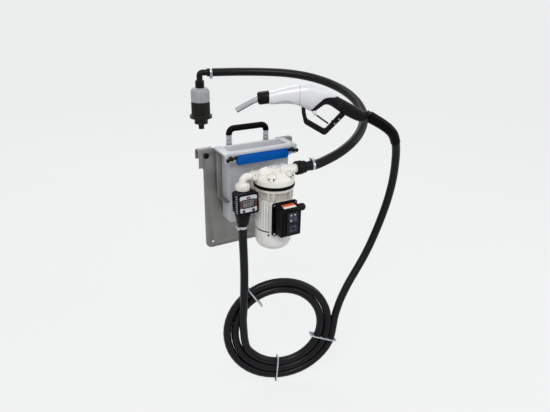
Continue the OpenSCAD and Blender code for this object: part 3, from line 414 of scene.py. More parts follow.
# Cast and machined aluminium of the wobble plate: dull grey metal, inside the pump.
CAST = Finish("cast_aluminium", "#8d8f92", "#7f8184", 0.45, 0.08, 1.0, patch_mm=8, grain_mm=1.0, grain=0.2)
# Matt studio floor, which keeps the shadow and shows near white to the eye.
FLOOR = Backdrop("studio_floor", "#dcdcdb", "#d8d8d7", 0.8, 0.03, patch_mm=400, grain_mm=6.0, grain=0.0)


# ---------------------------------------------------------------- shapes

def turn(axis: str, degrees: float) -> Matrix:
    """Returns a rotation about one axis."""
    return Matrix.Rotation(math.radians(degrees), 4, axis)


def shift(x: float, y: float, z: float) -> Matrix:
    """Returns a translation."""
    return Matrix.Translation((x, y, z))


def facing(direction: Point) -> Matrix:
    """Returns a rotation that takes local Z to a direction."""
    return Vector(direction).to_track_quat("Z", "Y").to_matrix().to_4x4()


def corners(node: str) -> tuple[Vector, Vector]:
    """Returns the corners of a CAD node's box, in millimetres."""
    low, high = (Vector(corner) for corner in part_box(node))
    return low / MM, high / MM


def oval(half_w: float, half_h: float, r: float, steps: int) -> list[Spot]:
    """Returns a rectangle's outline with round corners.

    Args:
        half_w: Half its width.
        half_h: Half its height.
        r: The corners' radius.
        steps: How many stretches round a corner.

    Returns:
        The points, from the right side round to the left.
    """
    points = []
    for cx, cy, start in ((1, 1, 0), (-1, 1, 90), (-1, -1, 180), (1, -1, 270)):
        for k in range(steps + 1):
            a = math.radians(start + 90 * k / steps)
            points.append((cx * (half_w - r) + r * math.cos(a), cy * (half_h - r) + r * math.sin(a)))
    return points


def grown_ring(outline: Sequence[Spot], grow: float, z: float) -> list[Point]:
    """Returns an outline moved out from its middle by grow, at height z."""
    ring = []
    for x, y in outline:
        share = 1 + grow / math.hypot(x, y)
        ring.append((x * share, y * share, z))
    return ring


def fluted_ring(radius: float, depth: float, z: float, flutes: int, steep: float, points: int) -> list[Point]:
    """Returns a round ring with flat-topped grips.

    Args:
        radius: The radius midway between the grips and the hollows.
        depth: How far the grips stand out and the hollows go in.
        z: The ring's height.
        flutes: How many grips there are.
        steep: How steep a grip's flanks are, where 1 is a plain wave.
        points: How many points the ring has.

    Returns:
        The ring's points.
    """
    ring = []
    for k in range(points):
        angle = math.tau * k / points
        reach = radius + depth * max(-1.0, min(1.0, steep * math.cos(flutes * angle)))
        ring.append((reach * math.cos(angle), reach * math.sin(angle), z))
    return ring


def between(a: float | Vector, b: float | Vector, c: float | Vector, d: float | Vector,
            t: float) -> float | Vector:
    """Returns the Catmull-Rom value at share t of the way from b to c.

    Args:
        a: The value before b.
        b: The value at the start.
        c: The value at the end.
        d: The value after c.
        t: The share, from 0 to 1.

    Returns:
        A number or a vector, as the four values are.
    """
    bend = (2 * a - 5 * b + 4 * c - d) * t * t
    return 0.5 * (2 * b + (c - a) * t + bend + (3 * b - a - 3 * c + d) * t ** 3)


def new_object(name: str, data: bpy.types.ID) -> bpy.types.Object:
    """Makes an object and puts it in the scene."""
    made = bpy.data.objects.new(name, data)
    bpy.context.collection.objects.link(made)
    return made


class Shape:
    """A mesh under construction, in millimetres in the frame's axes."""

    def __init__(self, at: Matrix | None = None) -> None:
        """Starts an empty shape.

        Args:
            at: Where local coordinates lie in the frame.
        """
        self.at = at or Matrix()
        self.bm = bmesh.new()

    def merge(self, made: bmesh.types.BMesh, local: Matrix | None = None) -> "Shape":
        """Moves a new body to its place in the frame and takes it in.

        Args:
            made: The new body, which is used up.
            local: Where it lies in the shape's own coordinates.
        """
        bmesh.ops.transform(made, matrix=self.at @ (local or Matrix()), verts=made.verts[:])
        carrier = bpy.data.meshes.new("carrier")
        made.to_mesh(carrier)
        made.free()
        self.bm.from_mesh(carrier)
        bpy.data.meshes.remove(carrier)
        return self

    def block(self, low: Point, high: Point, local: Matrix | None = None) -> "Shape":
        """Adds a box between two corners."""
        size = [end - start for start, end in zip(low, high)]
        centre = [(end + start) / 2 for start, end in zip(low, high)]
        made = bmesh.new()
        bmesh.ops.create_cube(made, size=1.0, matrix=shift(*centre) @ Matrix.Diagonal((*size, 1.0)))
        return self.merge(made, local)

    def lathe(self, profile: Sequence[Spot], local: Matrix | None = None, steps: int = 48) -> "Shape":
        """Spins an outline of (radius, height) points about local Z."""
        made = bmesh.new()
        verts = [made.verts.new((r, 0.0, z)) for r, z in profile]
        edges = [made.edges.new(pair) for pair in zip(verts, verts[1:])]
        bmesh.ops.spin(made, geom=verts + edges, cent=(0, 0, 0), axis=(0, 0, 1), angle=math.tau,
                       steps=steps, use_merge=True)
        bmesh.ops.remove_doubles(made, verts=made.verts[:], dist=0.001)
        return self.merge(made, local)

    def prism(self, outline: Sequence[Spot], depth: float, local: Matrix | None = None) -> "Shape":
        """Raises an outline in local X and Y by depth along local Z."""
        made = bmesh.new()
        face = made.faces.new([made.verts.new((x, y, 0.0)) for x, y in outline])
        raised = bmesh.ops.extrude_face_region(made, geom=[face])["geom"]
        top = [part for part in raised if isinstance(part, bmesh.types.BMVert)]
        bmesh.ops.translate(made, vec=(0, 0, depth), verts=top)
        return self.merge(made, local)

    def loft(self, rings: Sequence[Sequence[Point]], closed: bool = False) -> "Shape":
        """Bridges rings of points.

        Args:
            rings: The rings, each with the same number of points.
            closed: Whether the last ring meets the first one, instead of a cap at each end.
        """
        made = bmesh.new()
        loops = []
        for ring in rings:
            verts = [made.verts.new(p) for p in ring]
            loops.append([made.edges.new((a, b)) for a, b in zip(verts, verts[1:] + verts[:1])])
        for one, other in zip(loops, loops[1:] + loops[:1] if closed else loops[1:]):
            bmesh.ops.bridge_loops(made, edges=one + other)
        if not closed:
            bmesh.ops.holes_fill(made, edges=loops[0] + loops[-1], sides=0)
        return self.merge(made)

    def upright_frame(self, rings: Sequence[tuple[Sequence[Spot], float]]) -> "Shape":
        """Lofts a closed frame that stands in local X and Z.

        Args:
            rings: Outlines, each with how far it lies out along local -Y.
        """
        stand = turn("X", 90)
        return self.loft([[tuple(stand @ Vector((x, y, out))) for x, y in line] for line, out in rings],
                         closed=True)

    def outward(self) -> "Shape":
        """Turns every face outwards."""
        bmesh.ops.recalc_face_normals(self.bm, faces=self.bm.faces[:])
        return self

    def soften(self, width: float, segments: int = 2, above: float = 30.0) -> "Shape":
        """Rounds the edges that are sharper than an angle in degrees."""
        limit = math.radians(above)
        self.bm.normal_update()
        edges = [e for e in self.bm.edges if e.is_manifold and e.calc_face_angle() > limit]
        bmesh.ops.bevel(self.bm, geom=edges, offset=width, offset_type="OFFSET", segments=segments,
                        profile=0.5, affect="EDGES", material=-1, clamp_overlap=True)
        return self

    def to_object(self, name: str, finish: Finish) -> bpy.types.Object:
        """Turns the shape into an object in metres with one finish, and uses the shape up."""
        bmesh.ops.transform(self.bm, matrix=Matrix.Scale(MM, 4), verts=self.bm.verts[:])
        mesh = bpy.data.meshes.new(name)
        self.bm.to_mesh(mesh)
        self.bm.free()
        mesh.materials.append(finish.material())
        return new_object(name, mesh)

    def finish(self, name: str, finish: Finish, body: str, slot: str,
               smooth: float = 35.0) -> bpy.types.Object:
        """Turns the shape into a finished piece in metres that rides on a body.

        Args:
            name: The piece's name.
            finish: What its surface is.
            body: The CAD body that it moves with.
            slot: The record's material slot; not used.
            smooth: Edges flatter than this angle are shaded smooth.

        Returns:
            The new object.
        """
        made = self.to_object(name, finish)
        made.data.shade_smooth()
        made.data.set_sharp_from_angle(angle=math.radians(smooth))
        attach(made, body)
        LOG.info("%s: %d faces", name, len(made.data.polygons))
        return made


class Kit:
    """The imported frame, with the ways that a CAD node is dressed."""

    weld: float = 0.005
    flat_angle: float = 0.8

    def __init__(self, frame: dict) -> None:
        """Notes which body and slot each node has."""
        self.nodes = frame["nodes"]
        record = frame["record"]
        self.slots = {row["node"]: row["material_slot"] for row in record["subparts"]}
        self.bodies = {n: body for body, names in record["behaviour"]["bodies"].items() for n in names}

    def dress(self, finish: Finish, *names: str) -> None:
        """Gives CAD nodes a finish and leaves their shape."""
        for name in names:
            mesh = self.nodes[name].data
            mesh.materials.clear()
            mesh.materials.append(finish.material())

    def refine(self, node: str, finish: Finish, width: float, segments: int = 2,
               above: float = 32.0) -> bpy.types.Object:
        """Replaces a CAD node by a copy with rounded edges.

        Args:
            node: The CAD node.
            finish: What its surface is.
            width: How far each edge is rounded.
            segments: How many faces round an edge.
            above: Edges flatter than this angle stay.

        Returns:
            The new object.
        """
        shape = Shape()
        shape.bm.from_mesh(self.nodes[node].data)
        bmesh.ops.scale(shape.bm, vec=(1 / MM,) * 3, verts=shape.bm.verts[:])
        bmesh.ops.remove_doubles(shape.bm, verts=shape.bm.verts[:], dist=self.weld)
        bmesh.ops.dissolve_limit(shape.bm, angle_limit=math.radians(self.flat_angle), verts=shape.bm.verts[:],
                                 edges=shape.bm.edges[:], use_dissolve_boundaries=False)
        shape.soften(width, segments, above)
        made = shape.finish(node + "_piece", finish, self.bodies[node], self.slots[node])
        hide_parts(node)
        return made

    def extra(self, name: str, shape: Shape, finish: Finish, node: str,
              smooth: float = 35.0) -> bpy.types.Object:
        """Adds a detail that belongs to a CAD node and moves with it.

        Args:
            name: The detail's name.
            shape: Its shape, in millimetres.
            finish: What its surface is.
            node: The CAD node whose body it takes.
            smooth: Edges flatter than this angle are shaded smooth.

        Returns:
            The new object.
        """
        return shape.finish(name, finish, self.bodies[node], self.slots[node], smooth)

    def remodel(self, name: str, shape: Shape, finish: Finish, node: str,
                smooth: float = 35.0) -> bpy.types.Object:
        """Replaces a CAD node by a new shape, with the arguments of extra()."""
        made = self.extra(name, shape, finish, node, smooth)
        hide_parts(node)
        return made

    @staticmethod
    def repaint(piece: bpy.types.Object, finish: Finish, test: Callable[[Vector], bool]) -> None:
        """Gives some faces of a piece a second finish.

        Args:
            piece: The piece.
            finish: The second finish.
            test: Says whether the face with this middle, in millimetres, is one of them.
        """
        piece.data.materials.append(finish.material())
        for face in piece.data.polygons:
            if test(face.center / MM):
                face.material_index = 1


# ---------------------------------------------------------------- camera, light and floor

@dataclass(frozen=True)
class Lamp:
    """A square area lamp, in metres and watts."""

    name: str
    place: Point
    size: float
    power: float
    colour: str


@dataclass
class Studio:
    """Camera, lamps and floor, in metres."""

    eye: Point = (-0.8202, -1.6635, 0.5806)
    look: Point = (0.4542, 0.7942, -0.4036)
    right: Point = (0.8719, -0.4893, 0.01836)
    lens: float = 34.54
    film_width: float = 36.0
    aim: Point = (0.1, -0.1, -0.35)
    lamps: tuple[Lamp, ...] = (
        Lamp("key", (-1.6, -2.2, 2.6), 1.8, 80, "#fffcf6"),
        Lamp("fill", (2.6, -1.8, 1.2), 2.2, 30, "#f2f5ff"),
        Lamp("rim", (0.6, 2.6, 2.2), 2.0, 34, "#f6f8ff"))
    surround: str = "#e9edf2"
    surround_light: float = 0.42
    floor_gap: float = 0.002
    floor_size: float = 80.0
    floor_depth: float = 0.02

    def camera(self) -> None:
        """Makes the camera and makes it the scene's."""
        data = bpy.data.cameras.new("camera")
        data.lens = self.lens
        data.sensor_width = self.film_width
        made = new_object("camera", data)
        back = -Vector(self.look).normalized()
        up = back.cross(Vector(self.right)).normalized()
        side = up.cross(back)
        made.matrix_world = Matrix.Translation(self.eye) @ Matrix((side, up, back)).transposed().to_4x4()
        bpy.context.scene.camera = made

    def lamp(self, lamp: Lamp) -> None:
        """Makes an area lamp that looks at the middle of the pump kit."""
        data = bpy.data.lights.new(lamp.name, "AREA")
        data.size = lamp.size
        data.energy = lamp.power
        data.color = linear(lamp.colour)[:3]
        made = new_object(lamp.name, data)
        way = Vector(self.aim) - Vector(lamp.place)
        made.matrix_world = shift(*lamp.place) @ way.to_track_quat("-Z", "Y").to_matrix().to_4x4()

    def light(self) -> None:
        """Makes the lamps and the world's pale surround."""
        for lamp in self.lamps:
            self.lamp(lamp)
        world = bpy.data.worlds.new("surround")
        bpy.context.scene.world = world
        world.use_nodes = True
        tree = world.node_tree
        tree.nodes.clear()
        dim = add_node(tree, "Background", {"Color": linear(self.surround), "Strength": self.surround_light})
        pale = add_node(tree, "Background", {"Color": linear(PALE), "Strength": 1.0})
        mixed = add_node(tree, "MixShader", {0: seen_rays(tree), 1: dim.outputs[0], 2: pale.outputs[0]})
        add_node(tree, "OutputWorld", {"Surface": mixed.outputs[0]})

    def floor(self, height: float) -> None:
        """Makes the floor just under the lowest piece."""
        half = self.floor_size / 2 / MM
        top = (height - self.floor_gap) / MM
        shape = Shape().block((-half, -half, top - self.floor_depth / MM), (half, half, top))
        shape.to_object("floor", FLOOR)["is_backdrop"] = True


# ---------------------------------------------------------------- hoses

def smooth_run(points: Sequence[Vector], steps: int) -> list[Vector]:
    """Fills a run of points in on a Catmull-Rom curve.

    Args:
        points: The points that the curve passes through.
        steps: How many stretches lie between each pair.

    Returns:
        The points with the new ones between them.
    """
    run = []
    last = len(points) - 1
    for i in range(last):
        a, b, c, d = points[max(i - 1, 0)], points[i], points[i + 1], points[min(i + 2, last)]
        for k in range(steps):
            run.append(between(a, b, c, d, k / steps))
    return run + [points[last]]


def hose_curve(name: str, points: Sequence[Vector], diameter: float, finish: Finish) -> bpy.types.Object:
    """Makes a hose as one round curve, in metres, from points in millimetres."""
    data = bpy.data.curves.new(name, "CURVE")
    data.dimensions = "3D"
    data.bevel_depth = diameter / 2 * MM
    data.bevel_resolution = 6
    data.use_fill_caps = True
    line = data.splines.new("POLY")
    line.points.add(len(points) - 1)
    for spot, place in zip(line.points, points):
        spot.co = (*(place * MM), 1.0)
    line.use_smooth = True
    data.materials.append(finish.material())
    return new_object(name, data)


@dataclass
class Hoses:
    """The suction hose, the delivery hose with its coil, the sleeve and the ties.

    Attributes:
        suction_d: Outside diameter of the suction hose.
        delivery_d: Outside diameter of the delivery hose.
        barb_depth: How far the delivery hose's start lies above the foot of the hose tail.
        coil_at: The coil's middle.
        coil_turn: How far the coil is turned about Z, in degrees.
        coil_lean: How far it leans back, in degrees.
        coil_r: Radius of its first turn.
        coil_pitch: How much the radius grows with each turn.
        coil_turns: How many turns it has.
        coil_steps: How many points a turn has.
        lead_out: How far in front of the coil the hose comes down into it.
        lead_turns: The share of a turn in which it settles.
        swivel_way: The direction in which the hose leaves the nozzle.
        swivel_reach: Where on that line the hose ends, from its last point but one.
        port_x: Where the suction hose starts.
        elbow_z: Height of the tank elbow's mouth.
        elbow_heading: Where the mouth points, in degrees from X.
        elbow_reach: Where on that line the suction hose ends.
        sleeve_extra: How much thicker the sleeve is than the hose.
        sleeve_flare: How much the sleeve widens towards the nozzle.
        tie_angles: Where the ties hold the coil, in degrees.
        tie_play: Room between a tie and the hose.
        suction_run: Points of the suction hose, from the pump's axis at the port's height.
        drop_run: Points of the delivery hose down to the coil, from the outlet's axis.
        rise_run: Points from the coil up to the nozzle.
    """

    suction_d: float = 35.0
    delivery_d: float = 30.0
    barb_depth: float = 34.0
    coil_at: Point = (43, -213, -680)
    coil_turn: float = -18.0
    coil_lean: float = 4.0
    coil_r: float = 146.0
    coil_pitch: float = 30.4
    coil_turns: float = 2.5
    coil_steps: int = 16
    lead_out: float = 15.0
    lead_turns: float = 0.16
    swivel_way: Point = (0.764655, -0.441474, -0.469472)
    swivel_reach: Spot = (30.0, 5.0)
    port_x: float = 162.0
    elbow_z: float = 188.0
    elbow_heading: float = -15.0
    elbow_reach: Spot = (62.0, 38.0)
    sleeve_extra: float = 5.0
    sleeve_flare: float = 0.14
    tie_angles: Point = (124.0, 266.0, 340.0)
    tie_play: float = 1.2
    suction_run: tuple[Point, ...] = (
        (185, 0, 0), (210, 0, 4), (240, -1, 13), (280, -2, 27), (324, 3, 45), (365, 14, 64), (405, 34, 85),
        (441, 64, 108), (470, 105, 130), (490, 158, 151), (500, 218, 170), (501, 278, 185), (492, 334, 197),
        (472, 386, 208), (440, 436, 218), (400, 480, 225), (355, 520, 229), (307, 556, 230), (256, 587, 230),
        (204, 611, 230), (152, 630, 230), (105, 643, 230))
    drop_run: tuple[Point, ...] = (
        (0, 0, -240), (0, 0, -270), (1, -2, -320), (2, -4, -380), (2, -5, -440), (1, -4, -500), (0, -3, -550),
        (-1, -1, -590), (0, 3, -630))
    rise_run: tuple[Point, ...] = (
        (252, -280, -660), (260, -279, -630), (274, -276, -595), (295, -272, -558), (322, -268, -518),
        (354, -265, -475), (386, -263, -428), (414, -262, -376), (438, -262, -320), (458, -263, -262),
        (472, -266, -205), (480, -270, -148), (481, -275, -95), (476, -281, -45), (466, -289, 0),
        (450, -298, 38), (430, -305, 68), (406, -307, 91), (380, -302, 110))

    def coil_frame(self) -> Matrix:
        """Returns the coil's local frame: X right, Y up, Z towards the front."""
        return shift(*self.coil_at) @ turn("Z", self.coil_turn) @ turn("X", 90 - self.coil_lean)

    def coil_point(self, turns: float) -> Vector:
        """Returns the place in the coil after a number of turns."""
        angle = math.pi + turns * math.tau
        radius = self.coil_r + turns * self.coil_pitch
        ahead = self.lead_out * max(0.0, 1 - turns / self.lead_turns) ** 1.5
        return self.coil_frame() @ Vector((radius * math.cos(angle), radius * math.sin(angle), ahead))

    def delivery(self) -> None:
        """Makes the delivery hose from the meter to the nozzle in one piece."""
        start = Vector((*OUTLET_AXIS, corners("outlet_tail")[0].z + self.barb_depth))
        drop = [start] + [Vector((*OUTLET_AXIS, 0)) + Vector(p) for p in self.drop_run]
        steps = self.coil_steps
        coil = [self.coil_point(i / steps) for i in range(1, int(self.coil_turns * steps))]
        ends = [Vector(NOZZLE_AT) + d * Vector(self.swivel_way) for d in self.swivel_reach]
        rise = [Vector(p) for p in self.rise_run] + ends
        run = smooth_run(drop + coil + rise, 3)
        piece = hose_curve("delivery_hose", run, self.delivery_d, HOSE)
        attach(piece, "root")
        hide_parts("hose_drop", "hose_coil", "hose_rise")
        self.ties() + [self.sleeve(rise)]

    def suction(self) -> None:
        """Makes the suction hose from the pump's side port to the tank elbow."""
        heading = math.radians(self.elbow_heading)
        away = Vector((math.cos(heading), math.sin(heading), 0))
        ends = [Vector((*TANK_AXIS, self.elbow_z)) + away * d for d in self.elbow_reach]
        first = Vector((self.port_x, PUMP_AXIS[1], PORT_Z))
        base = Vector((0, PUMP_AXIS[1], PORT_Z))
        run = smooth_run([first] + [base + Vector(p) for p in self.suction_run] + ends, 3)
        piece = hose_curve("suction_line", run, self.suction_d, HOSE)
        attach(piece, "root")
        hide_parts("suction_hose")

    def sleeve(self, rise: Sequence[Vector]) -> bpy.types.Object:
        """Makes the tapered sleeve over the last stretch of hose."""
        run = smooth_run(rise[-6:], 4)
        piece = hose_curve("hose_cuff", run, self.delivery_d + self.sleeve_extra, RUBBER)
        for i, spot in enumerate(piece.data.splines[0].points):
            spot.radius = 1 + self.sleeve_flare * i / len(run)
        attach(piece, "root")
        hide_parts("hose_sleeve")
        return piece

    def ties(self) -> list[bpy.types.Object]:
        """Makes the three ties that hold the coil's turns together."""
        inner = self.coil_r - self.delivery_d / 2 - 1
        outer = self.coil_r + self.coil_turns * self.coil_pitch + self.delivery_d / 2 + 1
        half_w = (outer - inner) / 2 + self.tie_play
        half_h = self.delivery_d / 2 + self.tie_play
        strap = oval(half_w, half_h, 9.0, 6)
        made = []
        for number, angle in enumerate(self.tie_angles, 1):
            place = self.coil_frame() @ turn("Z", angle) @ shift((inner + outer) / 2, 0, 0) @ turn("X", 90)
            shape = Shape(place)
            section = ((0, -2.4), (0, 2.4), (1.4, 2.4), (1.4, -2.4))
            shape.loft([grown_ring(strap, grow, z) for grow, z in section], closed=True)
            shape.block((half_w + 0.4, -4, -3.6), (half_w + 6, 4, 3.6))
            shape.block((half_w + 1, 4, -2.2), (half_w + 2.4, 12, 2.2))
            shape.outward().soften(0.4, 1, 50)
            made.append(shape.finish(f"zip_tie_{number}", TIE, "root", "tie_plastic"))
        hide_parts("zip_ties")
        return made


# ---------------------------------------------------------------- sub-assemblies

@dataclass
class Bracket:
    """Back plate, hooks, side brackets, bin, name plate, knobs and handle."""

    kit: Kit
    bin_top: float = 24.0
    rim_depth: float = 2.0
    # Width of the edge band that gets the painted highlight.
    hem: float = 0.35
    knob_z: float = 8.0
    knob_twist: float = 12.0
    # Each section of a wing: how far out it lies, half its height, half its thickness.
    wing: tuple[Point, ...] = ((4, 4.4, 4.2), (9, 4.2, 3.6), (14, 6.6, 3.9), (18, 7.2, 3.6), (20.4, 4.6, 2.6))
    wing_middle: float = 4.6
    wing_points: int = 20

    def build(self) -> None:
        """Dresses the whole bracket."""
        # Plates, hooks and brackets in stainless grey darkened by painted shade.
        for node, width in (("back_plate", 0.6), ("rail_hooks", 0.5), ("side_brackets", 0.5)):
            self.kit.refine(node, STAINLESS_SHADED, width)
        self.bin()
        self.kit.refine("name_plate", BLUE, 1.3, 4)
        self.kit.refine("hook_plugs", BLACK, 1.2, 3)
        self.kit.refine("handle_straps", STRAP_STEEL, 0.6)
        self.kit.refine("handle_grip", RUBBER, 1.5, 3, 60)
        self.kit.refine("bracket_bolts", ZINC, 0.8)
        for side, node in ((-1, "knob_left"), (1, "knob_right")):
            self.knob(side, node)

    def bin(self) -> None:
        """Dresses the bin and paints a near-white painted highlight on the edges of its collar, sides and
        rim.
        """
        piece = self.kit.refine("bin", POWDER, 0.6)
        low, high = corners("bin")

        def in_hem_highlight(at: Vector) -> bool:
            """Says whether a face is on the collar's top, a side edge or the front rim, where the painted
            highlight goes.
            """
            on_top = at.z > self.bin_top + self.hem
            on_side = not low.x + self.hem < at.x < high.x - self.hem
            on_rim = at.y < low.y + self.hem and at.z > self.bin_top - self.rim_depth
            return on_top or on_side or on_rim

        # Near-white painted highlight on the collar's top, the side edges and the front rim.
        self.kit.repaint(piece, HEM_HIGHLIGHT, in_hem_highlight)

    def knob(self, side: int, node: str) -> None:
        """Remodels a wing knob: a round hub with two scooped wings.

        Args:
            side: -1 on the left and 1 on the right.
            node: The knob's CAD node.
        """
        low, high = corners(node)
        hub = shift((low.x + high.x) / 2, low.y, self.knob_z)
        shape = Shape(hub @ facing((0, 1, 0)) @ turn("Z", side * self.knob_twist))
        shape.lathe([(0, 0.6), (4.5, 0.6), (6.4, 1.6), (7, 4), (7.4, 15.4), (5, 16), (0, 16)])
        shape.lathe([(0, 15.5), (2.9, 15.5), (2.9, 31), (0, 31)])
        for way in (-1, 1):
            angles = [math.tau * k / self.wing_points for k in range(self.wing_points)]
            middle = self.wing_middle
            shape.loft([[(way * reach, half * math.cos(a), middle + thick * math.sin(a)) for a in angles]
                        for reach, half, thick in self.wing])
        self.kit.remodel(node + "_wings", shape.outward(), BLACK, node, 50)


@dataclass
class Pump:
    """Pump head, lower body, motor and fan cover, with what they hold.

    Attributes:
        seam_z: Height of the gap between the motor and its fan cover.
        ribs_foot: Where the motor's ribs end over the seam.
        ribs_top: Where they end under the lower body.
        groove_r: Radius inside which a face lies in a groove and gets the painted shade.
        band: Bottom, top and radius of the membrane's edge, whose black also takes in the shaded gap beside
            it as painted shade.
        cover_angles: Where the valve covers stand round the axis, in degrees.
        cover_r: How far out they stand.
        cover_z: Their height.
        cover_tilt: How far they lean outwards, in degrees.
        box_back: Screws in front of this plane belong to the switch box.
    """

    kit: Kit
    seam_z: float = -243.0
    ribs_foot: float = -239.0
    ribs_top: float = -134.0
    groove_r: float = 57.6
    band: Point = (-86.0, -74.6, 71.7)
    cover_angles: tuple[float, ...] = (-128, -52, 52, 128)
    cover_r: float = 56.0
    cover_z: float = -44.0
    cover_tilt: float = 40.0
    box_back: float = -254.0

    def build(self) -> None:
        """Dresses the pump from the cap down."""
        self.kit.refine("pump_head", CREAM, 1.0, 3, 40)
        self.kit.refine("valve_covers", CREAM, 0.6, 3)
        self.kit.refine("top_cap", CREAM, 1.0, 3)
        # Lower body in the darker cream: painted shade.
        self.kit.refine("lower_body", CREAM_SHADED, 0.8, 2, 40)
        motor = self.kit.refine("motor_housing", ENAMEL, 0.5, 2, 50)
        # Painted shade in the grooves between the ribs.
        self.kit.repaint(motor, GROOVE_SHADE, self.in_shaded_groove)
        self.kit.refine("fan_cover", ENAMEL, 0.6, 2, 40)
        self.kit.refine("membrane", BAND, 0.8, 3)
        self.kit.refine("head_bolts", ZINC, 0.4)
        screws = self.kit.refine("casing_screws", SCREW_STEEL, 0.3)
        self.kit.repaint(screws, ZINC, lambda at: at.y < self.box_back)
        self.seam()
        self.cap_ring()
        self.waist()
        self.cover_rims()
        self.kit.dress(COPPER, "stator")
        self.kit.dress(CAST, "wobble_plate")
        self.kit.dress(ZINC, "motor_shaft", "bearings")
        self.kit.dress(RUBBER, "valve_discs")
        self.kit.dress(BLACK, "fan")

    def in_shaded_groove(self, at: Vector) -> bool:
        """Says whether a face of the motor lies between its ribs, where the painted shade goes."""
        inside = math.hypot(at.x - PUMP_AXIS[0], at.y - PUMP_AXIS[1]) < self.groove_r
        return inside and self.ribs_foot < at.z < self.ribs_top

    def seam(self) -> None:
        """Adds the dark gap between the motor and its fan cover."""
        shape = Shape(shift(*PUMP_AXIS, self.seam_z))
        shape.lathe([(61, -2.4), (63.3, -2.4), (63.6, -1.8), (63.6, 2.6), (63.2, 3), (61, 3), (61, -2.4)],
                    steps=96)
        self.kit.extra("motor_seam", shape.outward(), GAP, "fan_cover")

    def waist(self) -> None:
        """Adds the bulging outer edge of the membrane between the two casings, tall enough that its black
        also stands for the shade in the gap: partly painted shade.
        """
        low, high, radius = self.band
        shape = Shape(shift(*PUMP_AXIS, 0))
        shape.lathe([(69, low), (radius - 0.8, low), (radius, low + 0.8), (radius, high - 0.8),
                     (radius - 0.8, high), (69, high), (69, low)], steps=128)
        # Black band that also covers the shade in the gap: partly painted shade.
        self.kit.extra("membrane_edge_and_shade", shape.outward(), BAND, "membrane")

    def cover_rims(self) -> None:
        """Adds the shadowed rim of the recess round each valve cover."""
        for number, angle in enumerate(self.cover_angles, 1):
            seat = shift(*PUMP_AXIS, 0) @ turn("Z", angle) @ shift(self.cover_r, 0, self.cover_z)
            shape = Shape(seat @ turn("Y", self.cover_tilt))
            shape.lathe([(15.4, 2.2), (16.6, 2.2), (16.9, 2.9), (15.8, 3.1), (15.4, 2.2)], steps=64)
            self.kit.extra(f"cover_rim_{number}", shape.outward(), GROOVE_SHADE, "valve_covers")

    def cap_ring(self) -> None:
        """Adds the fine step round the top cap."""
        shape = Shape(shift(*PUMP_AXIS, corners("top_cap")[1].z - 5))
        shape.lathe([(23.6, 0), (24.5, 0.4), (24.5, 1.6), (23.6, 2), (23.6, 0)], steps=64)
        self.kit.extra("cap_step", shape.outward(), CREAM, "top_cap")


